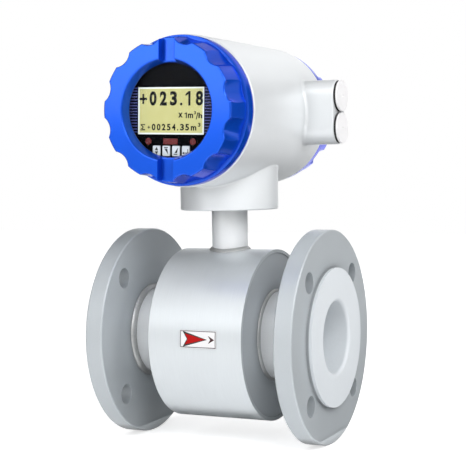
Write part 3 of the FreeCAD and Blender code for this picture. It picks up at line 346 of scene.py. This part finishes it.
def grid_cells(rows, columns, closed_rows, closed_columns):
    """The four-cornered faces of a grid of points, joined round at the ends where it is closed."""
    row, column = np.meshgrid(np.arange(rows - (not closed_rows)), np.arange(columns - (not closed_columns)),
                              indexing="ij")
    next_row, next_column = (row + 1) % rows, (column + 1) % columns
    return np.stack([row * columns + column, next_row * columns + column,
                     next_row * columns + next_column, row * columns + next_column], axis=-1).reshape(-1, 4)


def outward_cells(points, cells):
    """The same faces, turned over where they enclose a negative volume."""
    a, b, c, d = (points[cells[:, corner]] for corner in range(4))
    enclosed = np.sum(a * np.cross(b, c) + a * np.cross(c, d))
    return cells if enclosed > 0 else cells[:, ::-1]


def weld_bead(name, seam, across, along, leg, ripples, replaced):
    """A fillet weld run round a closed seam.

    seam, across and along hold one row per step: the corner of the joint, and the two directions in which
    its faces leave it. The section is a flattened quarter round between the faces, and its size swells and
    shrinks with a rounded saw tooth, one tooth per ripple.
    """
    section_steps, least_leg, ripple, flattening, root_depth = 9, 0.95, 0.07, 0.16, 0.15
    phase = (np.arange(len(seam)) / len(seam) * ripples) % 1.0
    swell = (leg * (least_leg + ripple * np.sqrt(phase)))[:, None, None]
    turn = np.linspace(0, np.pi / 2, section_steps)
    crown = (1 - flattening * np.sin(2 * turn))[None, :, None]
    skin = seam[:, None, :] + swell * crown * (
        np.cos(turn)[None, :, None] * across[:, None, :] + np.sin(turn)[None, :, None] * along[:, None, :])
    root = seam[:, None, :] - root_depth * leg * (across + along)[:, None, :]
    points = np.concatenate([root, skin], axis=1)
    rows, columns = points.shape[:2]
    points = points.reshape(-1, 3)
    cells = outward_cells(points, grid_cells(rows, columns, True, True))
    add_piece(name, points, cells, weld_metal, "meter", replaced)


seam_steps = 1100
tube_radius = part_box("measuring_tube")[1].z
turn = np.linspace(0, 2 * np.pi, seam_steps, endpoint=False)
outward = np.stack([np.zeros_like(turn), np.cos(turn), np.sin(turn)], axis=1)
# each seam's place on the pipe, the way its bead leans, its leg in millimetres and its count of ripples
seams = (
    ("inlet_plate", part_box("inlet_end_plate")[0].x, -1, 2.2, 110),
    ("outlet_plate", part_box("outlet_end_plate")[1].x, 1, 2.2, 110),
    ("inlet_flange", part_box("inlet_flange")[1].x, 1, 4.0, 80),
    ("outlet_flange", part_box("outlet_flange")[0].x, -1, 4.0, 80),
)
for joint, x, reach, leg, ripples in seams:
    seam = tube_radius * outward + np.array([x, 0, 0])
    along = np.broadcast_to(np.array([reach, 0.0, 0.0]), seam.shape)
    weld_bead(joint + "_weld_bead", seam, outward, along, leg * mm, ripples, [joint + "_weld"])

# ---------------------------------------------------------------- flow direction plate
# A thin enamelled plate, bent to the drum and stuck on. Printed on it are an edge line, a red arrow in a
# black outline, and a dark barb ahead of the arrow. Both point with the flow.

# glossy and a little whiter than the drum, with inks that are as glossy as the enamel or duller
white_enamel = finish("white_enamelled_plate", "F2F1F2", 0.3, spot=1.5, tint=0.015)
red_ink = finish("red_printing_ink", "B80202", 0.45, spot=0.8, tint=0.05, specular=0.2)
barb_ink = finish("dark_red_printing_ink", "3A050E", 0.35, spot=0.8, tint=0.05)
line_ink = finish("grey_printing_ink", "6A6468", 0.4, spot=0.8, tint=0.05)
black_ink = finish("black_printing_ink", "15120F", 0.4, spot=0.8, tint=0.05)
dress(white_enamel, "flow_arrow_plate")

drum_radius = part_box("drum_shell")[1].y
plate_low, plate_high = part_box("flow_arrow_plate")
plate_middle = (plate_low + plate_high) / 2
plate_lift = math.asin(plate_middle.z / drum_radius)
plate_thick, plate_width = 0.5 * mm, 14.9 * mm
plate_reach = drum_radius + plate_thick
plate_length = plate_high.x - plate_low.x


def print_on_plate(name, along, round_drum, height, ink):
    """Ink on the bent plate: places along the pipe and round the drum, laid on the plate's radius."""
    ink_depth = 0.04 * mm
    rows, columns = along.shape
    angle = round_drum / plate_reach + plate_lift
    reach = plate_reach + height
    points = np.stack([plate_middle.x + along, -reach * np.cos(angle), reach * np.sin(angle)], axis=-1)
    cells = grid_cells(rows, columns, False, False)
    piece = add_piece(name, points.reshape(-1, 3), cells, ink, "meter")
    body = piece.modifiers.new("ink_depth", "SOLIDIFY")
    body.thickness, body.offset = ink_depth, -1


def arrowhead(name, tip, notch, tail, half_width, height, ink):
    """A concave arrowhead: lines from the spine, notch to tip, out to the edge, tail corner to tip."""
    share, side = np.meshgrid(np.linspace(0, 1, 24), np.linspace(-1, 1, 17), indexing="ij")
    spine = notch + (tip - notch) * share
    edge = tail + (tip - tail) * share
    along = spine * (1 - np.abs(side)) + edge * np.abs(side)
    print_on_plate(name, along * mm, side * half_width * (1 - share) * mm, height * mm, ink)


# tip, notch and tail along the pipe from the plate's middle, half width and height, in millimetres
arrowhead("arrow_outline", 8.7, -10.1, -14.2, 6.7, 0.05, black_ink)
arrowhead("arrow_red", 6.5, -9.3, -12.1, 4.7, 0.09, red_ink)
arrowhead("arrow_barb", 15.4, 11.7, 9.5, 3.4, 0.05, barb_ink)

line, margin, line_height = 0.7 * mm, 0.3 * mm, 0.03 * mm
edge_x, edge_y = plate_length / 2 - margin, plate_width / 2 - margin
for name, x_range, y_range in (
    ("plate_line_low", (-edge_x, edge_x), (-edge_y, line - edge_y)),
    ("plate_line_high", (-edge_x, edge_x), (edge_y - line, edge_y)),
    ("plate_line_inlet", (-edge_x, line - edge_x), (-edge_y, edge_y)),
    ("plate_line_outlet", (edge_x - line, edge_x), (-edge_y, edge_y)),
):
    along, round_drum = np.meshgrid(np.linspace(*x_range, 2), np.linspace(*y_range, 17), indexing="ij")
    print_on_plate(name, along, round_drum, line_height, line_ink)

# ---------------------------------------------------------------- magnet and electrodes
# Inside the drum: a rolled iron yoke, two pole saddles, two lacquered copper coils, and stainless
# electrodes in moulded insulators, each held by a nut.

# scaly dark grey with a dull metal shine
dress(finish("blackened_rolled_iron", "4A4A4C", 0.5, metallic=0.8, spot=1.0, tint=0.08, relief=0.02),
      "magnet_yoke", "upper_pole_shoe", "lower_pole_shoe")
# fine turns of wire that glint brown under the lacquer
dress(finish("lacquered_copper_winding", "B4622F", 0.35, metallic=0.7, spot=0.4, tint=0.12, relief=0.05,
             stretch=(0.05, 0.05, 1)), "upper_coil", "lower_coil")
# bright, almost a mirror
dress(finish("polished_electrode_steel", "C8C9C8", 0.2, metallic=1.0, spot=0.5), "near_electrode",
      "far_electrode", "electrode_nuts")
# plain, matt and warm beside the metal
dress(finish("moulded_ivory_insulator", "DCD8C4", 0.5, spot=0.8, relief=0.01), "electrode_insulators")

# ---------------------------------------------------------------- neck
# The neck is a stainless tube welded upright into the drum, with a flange, a flat rubber gasket and
# four socket screws that hold the head from below.

neck_low, neck_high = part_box("neck_tube")
neck_radius = (neck_high.x - neck_low.x) / 2
neck_leg, neck_ripples = 2.6 * mm, 46
radial = np.stack([np.cos(turn), np.sin(turn), np.zeros_like(turn)], axis=1)
drum_rise = np.sqrt(drum_radius ** 2 - (neck_radius * radial[:, 1]) ** 2)
neck_x = np.full_like(turn, (neck_low.x + neck_high.x) / 2)
seam = neck_radius * radial + np.stack([neck_x, 0 * turn, drum_rise], axis=1)
# away from the neck the drum falls off, so the foot of the weld leans down with it
lean = np.stack([0 * turn, 0 * turn, -radial[:, 1] * seam[:, 1] / drum_rise], axis=1)
away = (radial + lean) / np.linalg.norm(radial + lean, axis=1, keepdims=True)
upward = np.broadcast_to(np.array([0.0, 0.0, 1.0]), seam.shape)
weld_bead("neck_weld_bead", seam, away, upward, neck_leg, neck_ripples, ["neck_weld"])

# cloudy light grey metal, brighter than the lacquer and duller than the stainless
dress(finish("zinc_plated_steel", "B5B8BA", 0.32, metallic=0.9, spot=0.8, tint=0.06), "neck_flange",
      "neck_screws", "terminal_screws", "earth_screw")
# near black and matt, with a faint grain
black_rubber = finish("black_moulded_rubber", "151515", 0.65, spot=0.6, tint=0.15, relief=0.015)
dress(black_rubber, "neck_gasket", "front_cover_seal", "rear_cover_seal", "window_gasket",
      "upper_plug_washer", "lower_plug_washer")

# ---------------------------------------------------------------- converter housing
# A pressure die-cast aluminium case, blasted and powder coated light grey. The baked powder leaves a
# fine even orange peel that spreads every highlight.

# with painted shade in the case's holes and inner corners
dress(finish("light_grey_powder_coat", "E6E9EB", 0.38, metallic=0.25, spot=1.3, tint=0.012, relief=0.02,
             soften=0.8, painted_shade=0.35), "converter_housing")

# ---------------------------------------------------------------- covers
# Two die-cast covers screw into the case, stove-enamelled all over in glossy blue. Each is a plain ring,
# a grip with twelve finger scoops and two wrench slots, and a neck with a turned thread.

# Flakes in the enamel keep its reflections blue, also at a low angle, and a thin coat over them lays a
# sharp highlight on the soft one.
# painted shade darkens the finger scoops, wrench slots and inner corners
blue_enamel = finish("glossy_blue_flake_enamel", "0B55D8", 0.24, metallic=0.55, spot=1.8, tint=0.03,
                     relief=0.004, coat=0.4, painted_shade=0.6)
blue_enamel.node_tree.nodes["Principled BSDF"].inputs["Specular Tint"].default_value = linear("3F74FF")

# in millimetres: radii from the cover's axis, and heights from the face that meets the case
cover_turn = math.radians(2)
scoop_count = 12
grip_foot, grip_top = 60.0, 57.4
ring_top, front_height = 10.0, 34.0
slot_half_width, slot_end, slot_depth, slot_flank = 7.05, 35.6, 6.2, 0.8


def ramp(value):
    """A smooth step: 3v^2 - 2v^3 of a value held between nought and one."""
    held = np.clip(value, 0, 1)
    return held * held * (3 - 2 * held)


def grip_radius(angle, height):
    """The grip's radius: the lesser of the tapered crest and the nearest scoop, with their meeting softened.

    A scoop is a circle beside the crest, of radius b at distance d from the axis, so in a direction that
    is turned by a from its middle it lies at d cos a - sqrt(b^2 - d^2 sin^2 a).
    """
    foot_bend, top_bend, foot_cut, top_cut = 34.0, 12.8, 1.6, 3.6
    clear, soft = 5.0, 0.35
    rise = (np.clip(height, ring_top, front_height) - ring_top) / (front_height - ring_top)
    crest = grip_foot + (grip_top - grip_foot) * rise
    bend = foot_bend + (top_bend - foot_bend) * rise
    away = (grip_foot - foot_cut + foot_bend) * (1 - rise) + (grip_top - top_cut + top_bend) * rise
    pitch = 2 * np.pi / scoop_count
    turned = (angle - np.pi / 2) % pitch - pitch / 2
    inside = np.maximum(bend ** 2 - (away * np.sin(turned)) ** 2, 0)
    scoop = np.where(inside > 0, away * np.cos(turned) - np.sqrt(inside), crest + clear)
    share = np.clip(0.5 + (scoop - crest) / (2 * soft), 0, 1)
    return scoop * (1 - share) + crest * share - soft * share * (1 - share)


def slot_share(angle, radius):
    """How far the wrench slots cut: one inside |x| < half the slot's width and past its inner end."""
    x, y = radius * np.cos(angle), np.abs(radius * np.sin(angle))
    return ramp((slot_half_width - np.abs(x)) / slot_flank) * ramp((y - slot_end) / slot_flank)


def line_angle(start, radius):
    """Angles of a cover's lines: parallel to the slots beside them, and radial elsewhere.

    A line that starts at a distance x from the slots' middle keeps that x down to a least radius, so its
    angle there is asin(x / radius). A ramp over x blends this with the starting angle.
    """
    least_radius, fade_end, fade, widest, steepest = 36.0, 24.0, 16.0, 1.2, 0.9
    slot_side = (start % np.pi) - np.pi / 2
    across = grip_top * np.sin(slot_side)
    straight = np.arcsin(np.clip(across / np.maximum(radius, least_radius), -steepest, steepest))
    weight = ramp((fade_end - np.abs(across)) / fade)
    return start + weight * (straight - slot_side) * (np.abs(slot_side) < widest)


def cover_piece(name, windowed, rim, facing, body, replaced):
    """A cover as one closed surface: round the axis, and along a profile from the window round to the bore.

    rim is where the cover meets the case, and facing is -1 for the display side and 1 for the rear.
    """
    line_count, bevel_rows, face_rows, side_rows, thread_rows = 720, 7, 36, 20, 35
    wall_back, window_front, window_back = 26.0, 40.9, 38.0
    window_edge, grip_edge, foot_fillet, ring_edge, chamfer = 0.6, 0.9, 0.5, 0.6, 0.3
    ring_radius, seat_radius, neck_tip_radius, bore_radius = 61.8, 55.0, 53.6, 47.0
    thread_radius, thread_depth, thread_pitch = 54.7, 0.9, 2.0
    thread_start, thread_end, neck_end = -0.8, -9.4, -10.0
    start = np.linspace(0, 2 * np.pi, line_count, endpoint=False)
    profile = []

    def carry(radius, height):
        """Carry the profile on: rows of radius and height, each given once or for every line."""
        rows = np.broadcast_arrays(np.atleast_2d(radius), np.atleast_2d(height), start[None, :])
        profile.append(np.stack(rows[:2]))

    def front(radius):
        """The height of the front face at a radius on each line, let down where a slot crosses it."""
        return front_height - slot_depth * slot_share(line_angle(start, radius), radius)

    def window_radius(height):
        """The window's bevel: a cone that widens from the glass to the front face."""
        return window_back + (window_front - window_back) * (height - wall_back) / (front_height - wall_back)

    if windowed:
        lip_height = front(np.full_like(start, window_front))
        lip = window_radius(lip_height)
        height = wall_back + (lip_height - window_edge - wall_back) * np.linspace(0, 1, bevel_rows)[:, None]
        carry(window_radius(height), height)
        carry(lip + window_edge / 6, lip_height - window_edge / 3)
        first = lip + window_edge
    else:
        first = np.zeros_like(start)

    # the front face, out to the grip's rounded edge, and the grip's side down to the ring
    outer = grip_radius(line_angle(start, grip_top), front_height)
    outer_height = front(outer)
    outer_angle = line_angle(start, outer)
    outer = grip_radius(outer_angle, outer_height)
    radius = first + (outer - grip_edge - first) * np.linspace(0, 1, face_rows)[:, None]
    carry(radius, front(radius))
    lean = np.radians([20, 40, 60, 80])[:, None]
    carry(outer - grip_edge + grip_edge * np.sin(lean), outer_height - grip_edge + grip_edge * np.cos(lean))
    outer_angle = line_angle(start, outer)
    side_top, side_foot = outer_height - grip_edge, ring_top + foot_fillet
    height = side_top + (side_foot - side_top) * np.linspace(0, 1, side_rows)[:, None]
    carry(grip_radius(outer_angle, height), height)
    carry(grip_radius(outer_angle, ring_top) + 0.3 * foot_fillet, ring_top + 0.2 * foot_fillet)

    # the ring with its rounded edge, and the face that meets the case
    carry(ring_radius - ring_edge, ring_top)
    carry(ring_radius - ring_edge / 4, ring_top - ring_edge / 4)
    carry(ring_radius, ring_top - ring_edge)
    carry(ring_radius, chamfer)
    carry(ring_radius - chamfer, 0.0)
    carry(seat_radius, 0.0)
    # the thread: a ridge of triangular section that climbs one pitch a turn
    height = np.linspace(thread_start, thread_end, thread_rows)[:, None]
    climb = (height / thread_pitch - start / (2 * np.pi)) % 1.0
    carry(thread_radius - thread_depth * (1 - np.abs(2 * climb - 1)), height)
    # the neck's end, the bore, and the wall behind the front face
    carry(neck_tip_radius, neck_end)
    carry(bore_radius + chamfer, neck_end)
    carry(bore_radius, neck_end + chamfer)
    carry(bore_radius, wall_back - chamfer)
    carry(bore_radius - chamfer, wall_back)
    if not windowed:
        carry(0.0, wall_back)

    radius, height = np.concatenate(profile, axis=1)
    angle = line_angle(start, radius) - cover_turn
    points = np.stack([head_axis.x - facing * radius * np.cos(angle) * mm, rim + facing * height * mm,
                       head_axis.z + radius * np.sin(angle) * mm], axis=-1).reshape(-1, 3)
    cells = outward_cells(points - points.mean(axis=0), grid_cells(*radius.shape, windowed, True))
    piece = add_piece(name, points, cells, blue_enamel, body, replaced)
    if not windowed:
        shell = bmesh.new()
        shell.from_mesh(piece.data)
        bmesh.ops.remove_doubles(shell, verts=shell.verts, dist=1e-7)
        shell.to_mesh(piece.data)
        shell.free()
        piece.data.shade_smooth()
    piece.data.set_sharp_from_angle(angle=math.radians(38))


seal_low, seal_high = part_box("front_cover_seal")
head_axis = (seal_low + seal_high) / 2
cover_piece("front_cover_casting", True, seal_low.y, -1, "front_cover_unit", ["front_cover"])
cover_piece("rear_cover_casting", False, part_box("rear_cover_seal")[1].y, 1, "rear_cover_unit", ["rear_cover"])

# ---------------------------------------------------------------- window
# A flat disc of coated float glass on a rubber gasket, held from behind by a black ring. The
# coating leaves only a trace of a reflection, so the display reads clearly.

glare_left = 0.03
clear_glass, tree = new_material("coated_float_glass")
glare = add_node(tree, "Fresnel", {"IOR": 1.5})
trace = add_node(tree, "Math", {0: glare.outputs[0], 1: glare_left}, operation="MULTIPLY")
through = add_node(tree, "BsdfTransparent", {"Color": linear("FBFDFF")})
mirror = add_node(tree, "BsdfGlossy", {"Color": (1, 1, 1, 1), "Roughness": 0.03})
both = add_node(tree, "MixShader", {0: trace.outputs[0], 1: through.outputs[0], 2: mirror.outputs[0]})
add_node(tree, "OutputMaterial", {"Surface": both.outputs[0]})
dress(clear_glass, "window_glass")
# a deep black with a soft metal shine
dress(finish("black_anodised_ring", "1B1B1D", 0.4, metallic=0.6, spot=0.5), "window_retaining_ring")

# ---------------------------------------------------------------- display
# The display sits on its own board behind a black moulded panel: a transflective liquid crystal glass
# with a pale frame line, ribbed black fields beside it and three dark red infrared windows below.

display_turn = math.radians(1.8)
panel_face, lcd_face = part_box("display_panel")[0].y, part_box("lcd_module")[0].y
# in millimetres, with the middle given right and up from the cover's axis
lcd_x, lcd_y, lcd_width, lcd_height = -2.1, -0.5, 60.2, 38.2
lcd_left, lcd_low = lcd_x - lcd_width / 2, lcd_y - lcd_height / 2


def on_display(x, y, face):
    """Places on the display, right and up from the cover's axis in millimetres, at a depth in the row frame.

    The display is turned clockwise by a small angle, so both are turned by it before they are placed.
    """
    x, y = np.asarray(x, float), np.asarray(y, float)
    across = x * math.cos(display_turn) + y * math.sin(display_turn)
    rise = y * math.cos(display_turn) - x * math.sin(display_turn)
    return np.stack([head_axis.x + across * mm, np.full_like(across, face), head_axis.z + rise * mm], axis=-1)


def printed(name, points, faces, ink, body):
    """A flat print, a few hundredths of a millimetre thick, that faces the display side."""
    piece = add_piece(name, points, faces, ink, body, smooth=False)
    depth = piece.modifiers.new("ink_depth", "SOLIDIFY")
    depth.thickness, depth.offset = 0.03 * mm, -1


def bars(left, right, low, high):
    """Corners and faces of many upright rectangles, each given by its four sides."""
    left, right, low, high = np.broadcast_arrays(left, right, low, high)
    x = np.stack([left, right, right, left], axis=-1).reshape(-1)
    y = np.stack([low, low, high, high], axis=-1).reshape(-1)
    return x, y, np.arange(len(x)).reshape(-1, 4)


# matt and very dark, so that the lit glass stands out
dress(finish("black_moulded_panel", "040406", 0.6, spot=0.5, tint=0.2, relief=0.005, specular=0.03),
      "display_panel")

# ribs beside the display, out to a circle that the window's rim covers: matt slate blue on the black
rib_pitch, rib_width, rib_count, rib_reach = 2.38, 1.05, 16, 42.3
rib_gap, rib_start, print_height = 0.5, 1.35, 0.04 * mm
rib_low = lcd_low + rib_start + rib_pitch * np.arange(rib_count)
rib_high = rib_low + rib_width
rib_end = np.sqrt(rib_reach ** 2 - np.maximum(np.abs(rib_low), np.abs(rib_high)) ** 2)
x, y, faces = bars(
    np.concatenate([-rib_end, np.full(rib_count, lcd_left + lcd_width + rib_gap)]),
    np.concatenate([np.full(rib_count, lcd_left - rib_gap), rib_end]),
    np.tile(rib_low, 2), np.tile(rib_high, 2))
rib_ink = finish("slate_blue_ribs", "4C5090", 0.5, spot=0.5, tint=0.1)
printed("panel_ribs", on_display(x, y, panel_face - print_height), faces, rib_ink, "meter")

# The liquid crystal glass: faintly clouded yellow-green that shines a little, with the pale frame line
# along its four edges.
frame_width, frame_blur, cloud_size = 1.2 * mm, 0.4 * mm, 6 * mm
lcd_glass, tree = new_material("yellow_green_liquid_crystal")
place = add_node(tree, "TexCoord")
squared = add_node(tree, "Mapping", {"Vector": place.outputs["Object"],
                                     "Location": tuple(on_display(lcd_x, lcd_y, lcd_face)),
                                     "Rotation": (0, display_turn, 0)}, vector_type="TEXTURE")
folded = add_node(tree, "VectorMath", {0: squared.outputs[0]}, operation="ABSOLUTE")
sides = add_node(tree, "SeparateXYZ", {0: folded.outputs[0]})
past_x = add_node(tree, "Math", {0: sides.outputs["X"], 1: lcd_width / 2 * mm - frame_width},
                  operation="SUBTRACT")
past_z = add_node(tree, "Math", {0: sides.outputs["Z"], 1: lcd_height / 2 * mm - frame_width},
                  operation="SUBTRACT")
past = add_node(tree, "Math", {0: past_x.outputs[0], 1: past_z.outputs[0]}, operation="MAXIMUM")
frame_share = add_node(tree, "MapRange", {"Value": past.outputs[0], "From Min": -frame_blur,
                                          "From Max": frame_blur})
cloud = add_node(tree, "TexNoise", {"Vector": place.outputs["Object"], "Scale": 1 / cloud_size})
tone = add_node(tree, "Mix", {"Factor": cloud.outputs["Fac"], "A": linear("C3BB70"), "B": linear("CFC783")},
                data_type="RGBA")
shown = add_node(tree, "Mix", {0: frame_share.outputs[0]}, data_type="RGBA")
tree.links.new(tone.outputs["Result"], shown.inputs["A"])
shown.inputs["B"].default_value = linear("F6F8EC")
shader = add_node(tree, "BsdfPrincipled", {"Base Color": shown.outputs["Result"], "Roughness": 0.4,
                                           "Emission Color": shown.outputs["Result"],
                                           "Emission Strength": 0.22})
add_node(tree, "OutputMaterial", {"Surface": shader.outputs[0]})
dress(lcd_glass, "lcd_module")


def glyph_outline(letter, weight):
    """A letter as corners in a unit box and faces. The one and the plus are drawn straight."""
    if letter == "1":
        corners = [(0.56, 0), (1, 0), (1, 1), (0.66, 1), (0, 0.8), (0, 0.66), (0.56, 0.78)]
        return np.array(corners), [[0, 1, 2, 3, 6], [3, 4, 5, 6]]
    if letter == "+":
        low, high = 0.38, 0.62
        corners = [(low, 0), (high, 0), (high, low), (1, low), (1, high), (high, high), (high, 1), (low, 1),
                   (low, high), (0, high), (0, low), (low, low)]
        return np.array(corners), [[0, 1, 2, 11], [11, 2, 5, 8], [2, 3, 4, 5], [8, 5, 6, 7], [10, 11, 8, 9]]
    shape = bpy.data.curves.new(letter, "FONT")
    shape.body, shape.offset = letter, weight
    holder = bpy.data.objects.new(letter, shape)
    flat = bpy.data.meshes.new_from_object(holder)
    corners = np.empty(len(flat.vertices) * 3)
    flat.vertices.foreach_get("co", corners)
    corners = corners.reshape(-1, 3)[:, :2]
    faces = [list(polygon.vertices) for polygon in flat.polygons]
    bpy.data.objects.remove(holder)
    bpy.data.meshes.remove(flat)
    bpy.data.curves.remove(shape)
    return (corners - corners.min(axis=0)) / np.ptp(corners, axis=0), faces


def figures(name, glyphs):
    """Dark figures in the display: each letter's outline, stretched to its own box on the glass.

    A box is given in thousandths of the glass: left, right, low, high. The last value is the weight.
    """
    points, faces, count = [], [], 0
    for letter, left, right, low, high, weight in glyphs:
        share, cells = glyph_outline(letter, weight)
        x = lcd_left + lcd_width * (left + (right - left) * share[:, 0]) / 1000
        y = lcd_low + lcd_height * (low + (high - low) * share[:, 1]) / 1000
        points.append(on_display(x, y, lcd_face - figure_height))
        faces += [[corner + count for corner in cell] for cell in cells]
        count += len(share)
    printed(name, np.concatenate(points), faces, lcd_black, "meter")


# matt near-black
lcd_black = finish("darkened_liquid_crystal", "0B0B08", 0.5, spot=0.8, tint=0.05, specular=0.2)
figure_height = 0.05 * mm
bold, plain = 0.045, 0.035
figures("flow_figures", [
    ("+", 20, 135, 645, 860, bold), ("0", 175, 282, 610, 915, bold), ("2", 332, 440, 610, 915, bold),
    ("3", 487, 594, 610, 915, bold), (".", 640, 676, 612, 672, bold), ("1", 722, 797, 610, 915, bold),
    ("8", 876, 984, 610, 915, plain),
    ("x", 614, 682, 358, 460, plain), ("1", 708, 745, 345, 465, plain), ("m", 760, 838, 345, 440, plain),
    ("3", 850, 880, 425, 495, plain), ("/", 880, 915, 320, 465, plain), ("h", 918, 975, 345, 460, plain),
])
total = [(digit, 212 + 77 * step, 268 + 77 * step, 85, 222, plain) for step, digit in enumerate("00254")]
figures("total_figures", total + [
    ("\u03a3", 38, 108, 80, 218, plain), ("+", 145, 188, 118, 182, plain), (".", 597, 617, 85, 112, plain),
    ("3", 645, 702, 85, 222, plain), ("5", 722, 779, 85, 222, plain), ("m", 806, 888, 85, 178, plain),
    ("3", 912, 950, 165, 248, plain),
])
# clear to infrared light, and a glossy red black to the eye
dress(finish("dark_red_acrylic", "6E0805", 0.2, spot=1.0, tint=0.1, ior=1.49), "infrared_windows")

# ---------------------------------------------------------------- keys
# Four white moulded keys stand a little in front of the panel. Each has a black printed sign: choose,
# down, up and enter.

# a clean white with a soft shine and rounded edges
white_cap = finish("white_moulded_key", "F1F2EF", 0.35, spot=0.8, tint=0.015, soften=0.3)
key_pitch, row_x, row_y = 8.9, -1.3, -33.0
key_row = (
    ("setting_key", [[(-1.5, 0.4), (1.5, 0.4), (0.0, 3.1)], [(-1.5, -0.4), (0.0, -3.1), (1.5, -0.4)]]),
    ("down_key", [[(-2.0, 2.3), (1.6, 2.3), (1.6, 3.0), (-2.0, 3.0)],
                  [(-1.5, 1.7), (1.9, -3.0), (1.0, 1.7)]]),
    ("up_key", [[(2.0, 2.8), (-1.2, -1.6), (1.1, -1.6)],
                [(-2.0, -3.0), (1.5, -3.0), (1.5, -2.3), (-2.0, -2.3)]]),
    ("enter_key", [[(-1.6, -1.9), (1.7, -1.9), (2.2, -1.4), (2.2, 1.6), (1.6, 1.6), (1.6, -1.2),
                    (-1.6, -1.2)], [(-3.0, -1.55), (-1.6, -2.6), (-1.6, -0.5)]]),
)
for place_in_row, (key, sign) in enumerate(key_row):
    dress(white_cap, key)
    middle_x = row_x + key_pitch * (place_in_row - (len(key_row) - 1) / 2)
    corners = np.concatenate([np.array(outline) for outline in sign])
    starts = np.cumsum([0] + [len(outline) for outline in sign])
    faces = [list(range(start, stop)) for start, stop in zip(starts, starts[1:])]
    points = on_display(corners[:, 0] + middle_x, corners[:, 1] + row_y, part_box(key)[0].y - print_height)
    printed(key + "_sign", points, faces, black_ink, key + "_cap")

# ---------------------------------------------------------------- electronics
# Behind the panel and behind the rear cover: glass-fibre boards in green solder mask on brass
# standoffs, black key switches, and a green moulded terminal block with plated screws.

# shiny green with a faint woven unevenness
solder_mask = finish("green_solder_mask", "1C6B3F", 0.3, spot=2.2, tint=0.14, relief=0.02, coat=0.3)
dress(solder_mask, "display_board", "main_board", "terminal_board")
# bright yellow metal
dress(finish("turned_brass", "C9A75A", 0.25, metallic=1.0, spot=0.5, tint=0.05), "lower_standoffs",
      "upper_standoffs", "terminal_standoffs")
# matt black with a faint grain of glass
dress(finish("black_glass_filled_nylon", "1A1A1B", 0.5, spot=0.5, tint=0.15, relief=0.01), "key_switches",
      "panel_posts")
# plain mid green with a soft sheen
dress(finish("green_moulded_polyamide", "2F8A4C", 0.42, spot=0.9, tint=0.04, relief=0.01, soften=0.3),
      "terminal_block")

# ---------------------------------------------------------------- cable plugs
# Each cable entry is closed by a white moulded plug on a black washer. The plastic is smooth and a
# little waxy, with rounded edges.

dress(finish("white_moulded_plug", "F4F3F4", 0.38, spot=1.2, tint=0.012, soften=0.5), "upper_entry_plug",
      "lower_entry_plug")

# ---------------------------------------------------------------- end
# The scene is brought up to date.

bpy.context.view_layer.update()
